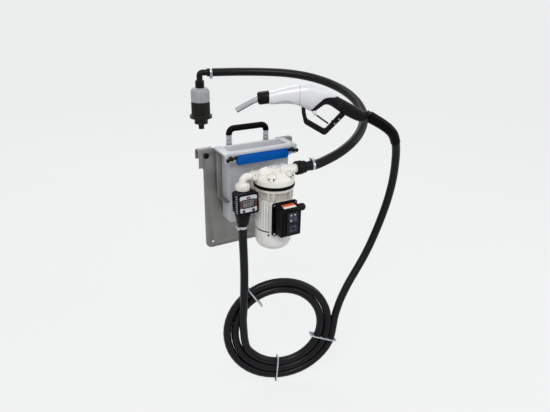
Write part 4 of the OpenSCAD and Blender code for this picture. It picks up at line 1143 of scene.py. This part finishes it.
@dataclass
class JunctionBox:
    """Switch box on the motor's front.

    Attributes:
        front: The cover's front plane.
        switch: Middle of the rocker switch, X and Z.
        rocker_tilt: How far the rocker leans at rest, in degrees.
        rocker_face: Outline of a half of the rocker, from its foot over the dished face.
        rocker_halves: Left edges of the two halves.
        rocker_half_w: Width of a half.
        mark_places: Left and lower edges of the pale painted highlights on the rocker.
        reset_z: Height of the reset key.
        slope_front: Left end of the sloped top's front edge.
        slope_back: Left end of its back edge.
        label_w: Width of the label.
    """

    kit: Kit
    front: float = -304.0
    switch: Spot = (26.0, -166.0)
    rocker_tilt: float = -9.0
    rocker_face: tuple[Spot, ...] = ((1, 15), (-9, 16), (-7.4, 8), (-6.5, 0), (-7.4, -8), (-9, -16), (1, -15),
                                     (4, 0))
    rocker_halves: Spot = (-14.9, 0.5)
    rocker_half_w: float = 14.4
    mark_places: tuple[Spot, ...] = ((-9.6, 6.4), (4.6, 6.4), (-12.6, -11.8))
    reset_z: float = -205.0
    slope_front: Point = (1.0, -301.0, -138.0)
    slope_back: Point = (1.0, -257.0, -129.0)
    label_w: float = 48.0

    def build(self) -> None:
        """Dresses the box, its switches and its gland."""
        self.kit.refine("box_base", BOX_BLACK, 0.8, 3)
        self.kit.refine("box_cover", BOX_BLACK, 1.6, 3, 25)
        self.kit.refine("switch_frame", KEY_FRAME, 0.8, 2)
        self.reset_surround()
        self.rocker()
        self.reset_key()
        self.gland()
        self.label()
        self.rocker_highlights()

    def rocker_place(self) -> Matrix:
        """Returns the rocker's frame: X right, Z up, -Y out of the box."""
        x, z = self.switch
        return shift(x, self.front + 3, z) @ turn("X", self.rocker_tilt)

    def rocker(self) -> None:
        """Remodels the rocker as a split key with a dished face, on its pin."""
        low, high = corners("power_switch")
        width = high.x - low.x
        place = self.rocker_place()
        sideways = Matrix(((0, 0, 1, 0), (1, 0, 0, 0), (0, 1, 0, 0), (0, 0, 0, 1)))
        shape = Shape()
        for left in self.rocker_halves:
            shape.prism(self.rocker_face, self.rocker_half_w, place @ shift(left, 0, 0) @ sideways)
        shape.block((-0.6, -4, -12), (0.6, 3, 12), place)
        shape.outward().soften(0.7, 2, 30)
        pin = shift(low.x, self.front + 3, self.switch[1]) @ turn("Y", 90)
        shape.lathe([(0, 0), (2, 0), (2, width), (0, width)], pin, 24)
        self.kit.remodel("rocker_keys", shape.outward(), KEY_BLUE, "power_switch")

    def reset_key(self) -> None:
        """Remodels the reset key as a square cap on a round stem."""
        shape = Shape(shift(self.switch[0], self.front, self.reset_z))
        shape.block((-4.8, -7, -4.8), (4.8, -1, 4.8)).soften(1.0, 3, 40)
        shape.lathe([(0, 0), (5.9, 0), (5.9, 8.2), (0, 8.2)], shift(0, 1.2, 0) @ turn("X", 90), 32)
        self.kit.remodel("reset_key", shape.outward(), KEY_BLUE, "reset_button")

    def reset_surround(self) -> None:
        """Adds the square blue-grey surround of the reset key."""
        shape = Shape(shift(self.switch[0], self.front - 2.6, self.reset_z))
        outer, inner = oval(13, 11.5, 2.5, 4), oval(6.4, 6.4, 6.2, 4)
        shape.upright_frame(((outer, 0.0), (outer, 2.0), (inner, 2.6), (inner, 0.0)))
        self.kit.extra("reset_surround", shape.outward(), KEY_BLUE, "switch_frame")

    def rocker_highlights(self) -> None:
        """Adds the pale blocks on the rocker's halves: painted highlights, for the reflections on its keys.
        """
        shape = Shape(self.rocker_place())
        for left, low in self.mark_places:
            shape.block((left, -9.2, low), (left + 4.6, -6.6, low + 5.4))
        # Pale blocks as painted highlights on the rocker's keys.
        self.kit.extra("rocker_highlights", shape.soften(0.4, 2, 40), SILVER, "power_switch")

    def gland(self) -> None:
        """Remodels the cable gland with a flange, a ribbed nut and a rounded mouth."""
        low, high = corners("cable_gland")
        centre = (low + high) / 2
        shape = Shape(shift(low.x, centre.y, centre.z) @ turn("Y", 90))
        shape.lathe([(5, 0), (7.4, 0), (7.4, 8), (12.6, 8), (13.5, 9), (13.5, 15), (12.9, 16), (12.4, 16.6),
                     (12.4, 30), (11.6, 32.6), (9, 35.4), (6.2, 36), (5, 35), (5, 0)])
        ribs = 12
        for k in range(ribs):
            shape.block((11.6, -1.3, 17.5), (12.9, 1.3, 30), turn("Z", 360 / ribs * k))
        self.kit.remodel("gland_piece", shape.outward(), BLACK, "cable_gland", 40)

    def label(self) -> None:
        """Lays the two-tone label on the sloped top: plain orange behind, plain white in front."""
        front, back = Vector(self.slope_front), Vector(self.slope_back)
        run = (back - front).normalized()
        up = Vector((1, 0, 0)).cross(run)
        lie = shift(*front) @ Matrix(((1, 0, 0), run, up)).transposed().to_4x4()
        for name, finish, near, far in (("label_white", WHITE_LABEL, 10, 21),
                                        ("label_orange", ORANGE, 21, 33)):
            shape = Shape(lie)
            shape.block((0, near, -0.3), (self.label_w, far, 0.5)).soften(0.2, 1, 40)
            self.kit.extra(name, shape, finish, "box_cover")


@dataclass
class Delivery:
    """Outlet union, elbow, nut, meter and hose tail.

    Attributes:
        face_z: Height of the meter's middle.
        lean: How far the meter leans, in degrees.
        face_y: Plane of its face, from its middle.
        nut_bore: Radius of the union nut's bore.
        nut_foot: Rings of the nut from its foot: height, radius and depth of the grips.
        nut_top: Rings up to its top, with their height from the top.
        display: Corners of the display. Those of its fields, strips and frame and of the lamp's
            field follow, each as the low and the high corner of a block.
        lamp_z: Height of the lamp over the face's middle.
        button_x: How far the keys lie from the middle.
        button_z: Their height.
        rib_pitch: Distance between the ribs on the meter's flanks.
        flutes: How many flutes the tail's nut has.
    """

    kit: Kit
    face_z: float = -123.5
    lean: float = 4.0
    face_y: float = -44.0
    nut_bore: float = 13.0
    nut_foot: tuple[Point, ...] = ((0, 22.6, 0.6), (1.2, 23.2, 1.4))
    nut_top: tuple[Point, ...] = ((-4.5, 23.2, 1.4), (-2.2, 22.4, 0.8), (0, 20.4, 0))
    display: tuple[Point, Point] = ((-20.6, 0.2, -11.6), (20.6, 0.7, 13.6))
    fields: tuple[tuple[Point, Point], ...] = (
        ((-15, 0, 2), (6, 0.3, 9.5)), ((8, 0, 4.5), (15, 0.3, 9)), ((-8, 0, -6.5), (13, 0.3, -2.5)))
    strips: tuple[tuple[Point, Point], ...] = (
        ((-32.4, -1, -13), (-22.2, -0.4, 14.5)), ((22.2, -1, -13), (32.4, -0.4, 14.5)))
    display_frame: tuple[tuple[Point, Point], ...] = (
        ((-22, -1.3, 13.4), (22, 0.4, 16.4)), ((-22, -1.3, -14.4), (22, 0.4, -11.4)),
        ((-22, -1.3, -12.8), (-20.4, 0.4, 14.8)), ((20.4, -1.3, -12.8), (22, 0.4, 14.8)))
    lamp_field: tuple[Point, Point] = ((-6.5, -1.2, 18), (6.5, -0.4, 25))
    lamp_z: float = 21.5
    button_x: float = 18.0
    button_z: float = -24.0
    rib_pitch: int = 7
    flutes: int = 24

    def build(self) -> None:
        """Dresses the delivery line."""
        self.kit.refine("outlet_union", CREAM, 2.0, 3)
        self.kit.refine("outlet_elbow", CREAM, 0.8, 2, 50)
        self.nut()
        self.kit.refine("meter_body", BOX_BLACK, 1.4, 3, 40)
        self.kit.refine("meter_face", SILVER, 0.4)
        self.kit.refine("button_left", RED_KEY, 0.8, 3)
        self.kit.refine("button_right", RED_KEY, 0.8, 3)
        self.kit.dress(CREAM, "meter_turbine")
        self.face()
        self.bezel()
        self.tail()
        self.kit.refine("hose_clamps", ZINC, 0.4)
        self.union_screws()

    def nut(self) -> None:
        """Remodels the union nut: a straight barrel with eight broad grips and a chamfered top."""
        low, high = corners("union_nut")
        height = high.z - low.z
        shape = Shape(shift(*OUTLET_AXIS, low.z))
        rows = [*self.nut_foot, *((height + z, radius, grip) for z, radius, grip in self.nut_top),
                (height, self.nut_bore, 0), (0, self.nut_bore, 0)]
        shape.loft([fluted_ring(radius, grip, z, 8, 3.0, 128) for z, radius, grip in rows], closed=True)
        self.kit.remodel("union_nut_piece", shape.outward(), CREAM, "union_nut", 40)

    def on_face(self) -> Matrix:
        """Returns the meter's face frame: X right, Z up, -Y out of the face."""
        return shift(*OUTLET_AXIS, self.face_z) @ turn("X", -self.lean) @ shift(0, self.face_y, 0)

    def face(self) -> None:
        """Adds the display, its digit fields, the side strips, the lamp and the key rings."""
        for name, finish, blocks in (("display", LCD, (self.display,)),
                                     ("display_fields", LCD_DARK, self.fields),
                                     ("side_strips", RED_STRIP, self.strips),
                                     ("display_frame", KEY_FRAME, self.display_frame),
                                     ("lamp_oval", KEY_FRAME, (self.lamp_field,))):
            shape = Shape(self.on_face())
            for low, high in blocks:
                shape.block(low, high)
            self.kit.extra(name, shape.soften(0.25, 2, 40), finish, "meter_face")
        shape = Shape(self.on_face())
        lens = [(0, 0), (3.2, 0), (3.0, 0.9), (1.8, 1.6), (0, 1.8)]
        shape.lathe(lens, shift(0, -0.9, self.lamp_z) @ turn("X", 90), 32)
        self.kit.extra("lamp_lens", shape.outward(), RED_LENS, "meter_face", 60)
        shape = Shape(self.on_face())
        ring = [(3.7, 0), (5.4, 0), (5.2, 0.6), (3.9, 0.8), (3.7, 0)]
        for x in (-self.button_x, self.button_x):
            shape.lathe(ring, shift(x, -0.5, self.button_z) @ turn("X", 90), 32)
        self.kit.extra("key_rings", shape.outward(), KEY_FRAME, "meter_face")

    def bezel(self) -> None:
        """Adds the raised black frame round the face and the ribs on the meter's left and right, which are
        grey as a painted highlight.
        """
        shape = Shape(self.on_face())
        outer, inner = oval(38.0, 36.0, 8.0, 6), oval(31.6, 29.0, 5.6, 6)
        shape.upright_frame(((outer, -6.0), (outer, 1.0), (inner, 1.4), (inner, -1.0)))
        self.kit.extra("meter_bezel", shape.outward().soften(0.4, 2, 50), BOX_BLACK, "meter_body")
        ribs = Shape(self.on_face())
        for z in range(-28, 30, self.rib_pitch):
            for side in (-1, 1):
                low, high = sorted((side * 36.5, side * 41.4))
                ribs.block((low, 3, z - 1.8), (high, 12, z + 1.8))
        # Ribs in a lighter grey as a painted highlight.
        self.kit.extra("meter_ribs", ribs.soften(0.8, 2, 50), RIB_HIGHLIGHT, "meter_body")

    def tail(self) -> None:
        """Remodels the hose tail: a fluted nut that narrows to the hose barb."""
        low, high = corners("outlet_tail")
        height = high.z - low.z
        bore, rim = 7.1, 27.0
        shape = Shape(shift(*OUTLET_AXIS, low.z))
        shape.lathe([(bore, 0), (9.5, 0), (9.5, 33), (17, 33.4), (17.4, 35.6), (20, 36.4), (21.5, 44),
                     (24.6, 60), (26.6, 71), (rim, height - 13), (rim, height - 1), (rim - 1, height),
                     (bore, height), (bore, 0)], steps=72)
        for k in range(self.flutes):
            place = turn("Z", 360 / self.flutes * k)
            shape.block((25.4, -1.5, height - 13), (27.9, 1.5, height - 1.6), place)
        self.kit.remodel("tail_piece", shape.outward(), BLACK, "outlet_tail", 30)

    def union_screws(self) -> None:
        """Adds the two dark screws in the front of the outlet union."""
        low, high = corners("outlet_union")
        shape = Shape()
        for x in (low.x + 9, high.x - 7):
            seat = shift(x, low.y + 2.2, PORT_Z + 6)
            shape.lathe([(0, 0), (1.8, 0), (1.6, 0.8), (0, 1)], seat @ turn("X", 90), 24)
        self.kit.extra("union_screws", shape.outward(), SCREW_STEEL, "outlet_union")


@dataclass
class Suction:
    """Suction port fittings and the tank adaptor.

    Attributes:
        nut_foot: Rings of the tank nut from its foot: height, radius and depth of the flutes.
        nut_top: Rings up to its top, with their height from the top.
        ribs: How many ribs the adaptor's barrel has.
    """

    kit: Kit
    nut_foot: tuple[Point, ...] = ((0, 38.5, 1.0), (1.5, 39.6, 1.6))
    nut_top: tuple[Point, ...] = ((-17, 39.6, 1.8), (-10, 38.4, 1.2), (-4, 33.5, 0.4), (-0.8, 28, 0),
                                  (0, 26.4, 0), (0, 14, 0))
    ribs: int = 48

    def build(self) -> None:
        """Dresses the suction fittings."""
        self.kit.refine("inlet_nut", BLACK, 0.8)
        self.kit.refine("inlet_tail", BLACK, 0.6)
        self.kit.refine("tank_elbow", BLACK, 0.8, 2, 40)
        self.nut()
        self.kit.refine("tank_adaptor", ADAPTOR, 1.2, 3)
        self.adaptor_ribs()

    def nut(self) -> None:
        """Remodels the tank nut: a domed cap with twelve broad flutes."""
        low, high = corners("tank_nut")
        height = high.z - low.z
        rows = [*self.nut_foot, *((height + z, radius, flute) for z, radius, flute in self.nut_top)]
        shape = Shape(shift(*TANK_AXIS, low.z))
        shape.loft([fluted_ring(radius - 0.4 * flute, flute, z, 12, 2.4, 144) for z, radius, flute in rows])
        self.kit.remodel("nut_piece", shape.outward(), NUT_GREY, "tank_nut", 40)

    def adaptor_ribs(self) -> None:
        """Adds the fine upright ribs on the adaptor's barrel."""
        shape = Shape(shift(*TANK_AXIS, 0))
        for k in range(self.ribs):
            shape.block((39.4, -0.7, 9), (40.6, 0.7, 62), turn("Z", 360 / self.ribs * k))
        self.kit.extra("adaptor_ribs", shape.soften(0.3, 1, 50), ADAPTOR, "tank_adaptor")


@dataclass
class Nozzle:
    """Trigger nozzle, in a local frame: X from the spout to the hose, Z up, Y across.

    Attributes:
        heading: How far the nozzle is turned about Z, in degrees.
        collar_at: Front of the collar, X and Z.
        collar_tilt: How far it points down, in degrees.
        ring_points: How many points a section has.
        upper_power: How boxy the upper half of every section is, where 2 is an ellipse.
        seam_x: Where the shell's parting line lies.
        inlay: Points of the inlaid panel's edge: place along the nozzle, height in the section.
        shell: Sections of the white shell: place along the nozzle, top, bottom, half width, how
            boxy the lower half is.
        grip: Sections of the black grip, in the same way.
        guard: Outline of the guard, from its front end round the outside and back.
        guard_w: Width of the guard.
        guard_screws: Places of its screws, X and Z.
        button_at: Place of the button on both flanks, X and Z.
    """

    kit: Kit
    heading: float = -30.0
    collar_at: Spot = (-376.0, 52.0)
    collar_tilt: float = -8.0
    ring_points: int = 40
    upper_power: float = 2.2
    seam_x: float = -237.0
    inlay: tuple[Spot, ...] = ((-316, 0.22), (-308, 0.34), (-298, 0.42), (-285, 0.44), (-272, 0.42),
                               (-262, 0.34), (-255, 0.18))
    shell: tuple[tuple[float, ...], ...] = (
        (-337, 76.5, 32.5, 20.5, 2.0), (-325, 80, 33, 21.5, 2.1), (-302, 87, 35, 23, 2.2),
        (-275, 94, 36, 24.5, 2.2), (-252, 99.5, 34.5, 25.5, 2.1), (-235, 102.5, 29.5, 26, 1.9),
        (-217, 104, 21.5, 26, 1.7), (-203, 104, 15.5, 26, 1.6), (-193, 103.5, 12.5, 25.5, 1.6),
        (-183, 101.5, 19.5, 25.2, 1.7), (-169, 98, 31, 24.8, 1.9), (-154, 92, 44, 24, 2.1),
        (-138, 84, 54, 22.5, 2.1), (-122, 76, 57, 18, 2.0), (-112, 71, 61, 10, 2.0))
    grip: tuple[tuple[float, ...], ...] = (
        (-196, 22, 14, 8, 2.0), (-188, 36, 11.5, 13, 2.2), (-178, 52, 15.5, 17, 2.4),
        (-166, 66, 24.5, 21, 2.4), (-154, 74, 34, 23.6, 2.4), (-142, 76, 37, 23.6, 2.3),
        (-128, 73, 32, 22.5, 2.3), (-112, 66.5, 22, 21.5, 2.3), (-92, 56.5, 9, 21, 2.3),
        (-66, 43.5, -5, 20.5, 2.2), (-42, 30.5, -15.5, 19.5, 2.2), (-24, 20.5, -20.5, 18.5, 2.1),
        (-12, 13.5, -21, 17, 2.0), (-6, 9.5, -17, 15.5, 2.0))
    guard: tuple[Spot, ...] = (
        (-229, 36), (-226, 6), (-218, -26), (-214, -32), (-152, -67), (-145, -69), (-138, -66), (-70, 10),
        (-84, 22), (-99, 6), (-141, -44), (-148, -47), (-204, -16), (-208, -10), (-213, 10), (-215, 36))
    guard_w: float = 14.0
    guard_screws: tuple[Spot, ...] = ((-98, -12), (-112, -28))
    button_at: Spot = (-97.0, 40.0)

    def place(self) -> Matrix:
        """Returns where the nozzle's local frame lies."""
        return shift(*NOZZLE_AT) @ turn("Z", self.heading)

    def section(self, row: Sequence[float], grow: float = 0.0) -> list[Point]:
        """Returns the ring of points of one section.

        Args:
            row: Place, top, bottom, half width and boxiness.
            grow: How far the ring is moved out.
        """
        along, top, bottom, half, boxy = row
        centre = (top + bottom) / 2
        ring = []
        for k in range(self.ring_points):
            angle = math.tau * k / self.ring_points
            power = 2 / (boxy if math.sin(angle) < 0 else self.upper_power)
            across, up = (math.copysign(abs(v) ** power, v) for v in (math.cos(angle), math.sin(angle)))
            ring.append((along, across * (half + grow), centre + up * ((top - bottom) / 2 + grow)))
        return ring

    def blend(self, rows: Sequence[Sequence[float]], steps: int) -> list[list[float]]:
        """Fills sections in between, smoothly."""
        filled = []
        last = len(rows) - 1
        for i in range(last):
            a, b, c, d = rows[max(i - 1, 0)], rows[i], rows[i + 1], rows[min(i + 2, last)]
            for k in range(steps):
                filled.append([between(*values, k / steps) for values in zip(a, b, c, d)])
        return filled + [list(rows[last])]

    def build(self) -> None:
        """Builds the nozzle from the spout to the swivel."""
        self.kit.refine("nozzle_spout", SPOUT_STEEL, 0.3)
        self.collar()
        self.body()
        self.lines()
        self.handle()
        self.kit.refine("nozzle_lever", BLACK, 1.0, 3)
        self.kit.refine("nozzle_latch", BLACK, 0.3)
        self.kit.refine("hose_swivel", BLACK, 0.5)

    def collar(self) -> None:
        """Remodels the flared collar with its rings."""
        x, z = self.collar_at
        shape = Shape(self.place() @ shift(x, 0, z) @ turn("Y", self.collar_tilt) @ turn("Y", 90))
        profile = [(10, 30), (10, 9), (16.5, -0.4), (18.6, 0), (19.6, 2)]
        for start in (5, 12, 19, 26):
            profile += [(21.6, start), (22.4, start + 1.2), (22.4, start + 4), (21.4, start + 5)]
        profile += [(21.8, 33), (21.8, 39), (20, 40), (10, 40), (10, 30)]
        shape.lathe(profile, steps=64)
        self.kit.remodel("collar_piece", shape.outward(), BLACK, "nozzle_collar", 40)

    def body(self) -> None:
        """Remodels the white shell with its keel, and the lugs of the lever's pin."""
        shape = Shape(self.place())
        shape.loft([self.section(row) for row in self.blend(self.shell, 4)])
        for side in (-1, 1):
            near, far = sorted((side * 7.6, side * 10.4))
            shape.block((-188.5, near, 4), (-175.5, far, 34))
            shape.lathe([(0, 0), (6.5, 0), (6.8, 0.4), (6.8, 2.6), (6.4, 3), (0, 3)],
                        shift(-182, near - 0.1 + 3, 4) @ turn("X", 90), 32)
        self.kit.remodel("shell_piece", shape.outward(), NOZZLE_WHITE, "nozzle_shell", 42)

    def lines(self) -> None:
        """Adds the shell's parting line and the inlaid panel's edge on both flanks."""
        rows = self.blend(self.shell, 4)
        cut = min(rows, key=lambda row: abs(row[0] - self.seam_x))
        outer, inner = self.section(cut, 0.12), self.section(cut, -0.6)
        shape = Shape(self.place())
        shape.loft([[(x + side * 0.6, y, z) for x, y, z in ring]
                    for ring, side in ((inner, -1), (outer, -1), (outer, 1), (inner, 1))], closed=True)
        self.kit.extra("shell_seam", shape.outward(), SEAM, "nozzle_shell")
        for side, name in ((-1, "front"), (1, "back")):
            points = [self.place() @ self.on_flank(rows, along, up, side) for along, up in self.inlay]
            piece = hose_curve("inlay_" + name, smooth_run(points, 4), 1.6, SEAM)
            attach(piece, self.kit.bodies["nozzle_shell"])

    @staticmethod
    def on_flank(rows: Sequence[Sequence[float]], along: float, up: float, side: int) -> Vector:
        """Returns a point just proud of the shell's lower flank.

        Args:
            rows: The shell's sections.
            along: The place along the nozzle.
            up: How far up the section's lower half it lies, from 0 at the bottom to 1.
            side: -1 for the front flank and 1 for the back one.
        """
        place, top, bottom, half, boxy = min(rows, key=lambda row: abs(row[0] - along))
        down = 1 - up
        across = (1 - down ** boxy) ** (1 / boxy)
        height = (top + bottom) / 2 - (top - bottom) / 2 * down
        return Vector((place, side * (half * across + 0.05), height))

    def handle(self) -> None:
        """Remodels the black grip that wraps the shell's rear, with the guard, button and screws."""
        shape = Shape(self.place())
        shape.loft([self.section(row) for row in self.blend(self.grip, 3)])
        shape.lathe([(15.2, -9), (17.6, -8), (17.6, -2), (16.4, 0.5), (12.2, 0.5), (12.2, -9), (15.2, -9)],
                    turn("Y", 28) @ turn("Y", 90), 48)
        lie = Matrix(((1, 0, 0, 0), (0, 0, -1, self.guard_w / 2), (0, 1, 0, 0), (0, 0, 0, 1)))
        guard = Shape(self.place())
        guard.prism(self.guard, self.guard_w, lie)
        guard.outward().soften(3.0, 4, 50)
        self.kit.remodel("grip_piece", shape.outward(), BLACK, "nozzle_grip", 42)
        self.kit.extra("guard_piece", guard, BLACK, "nozzle_grip", 40)
        button = Shape(self.place())
        for side in (-1, 1):
            button.lathe([(0, 0), (7.2, 0), (7.2, 1.6), (5.6, 2.2), (5.4, 1.2), (0, 1.2)],
                         shift(self.button_at[0], side * 20.4, self.button_at[1]) @ turn("X", -90 * side), 40)
        self.kit.extra("grip_button", button.outward(), KEY_FRAME, "nozzle_grip")
        screws = Shape(self.place())
        for x, z in self.guard_screws:
            seat = shift(x, 0.1 - self.guard_w / 2, z)
            screws.lathe([(0, 0), (2.6, 0), (2.4, 0.9), (0, 1.3)], seat @ turn("X", 90), 24)
        self.kit.extra("guard_screws", screws.outward(), ZINC, "nozzle_grip")


def main() -> None:
    """Builds the scene in order."""
    logging.basicConfig(level=logging.INFO, format="%(message)s")
    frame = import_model()
    sizes = {"cad": [list(c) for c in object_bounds()]}
    studio = Studio()
    studio.camera()
    hoses = Hoses()
    hoses.delivery()
    hoses.suction()
    kit = Kit(frame)
    for part in (Bracket(kit), Pump(kit), JunctionBox(kit), Delivery(kit), Suction(kit), Nozzle(kit)):
        LOG.info("building %s", type(part).__name__)
        part.build()
    studio.light()
    studio.floor(sizes["cad"][0][2])
    bpy.context.scene.view_settings.view_transform = "Standard"
    sizes["visual"] = [list(c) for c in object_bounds()]


if __name__ == "__main__":
    main()
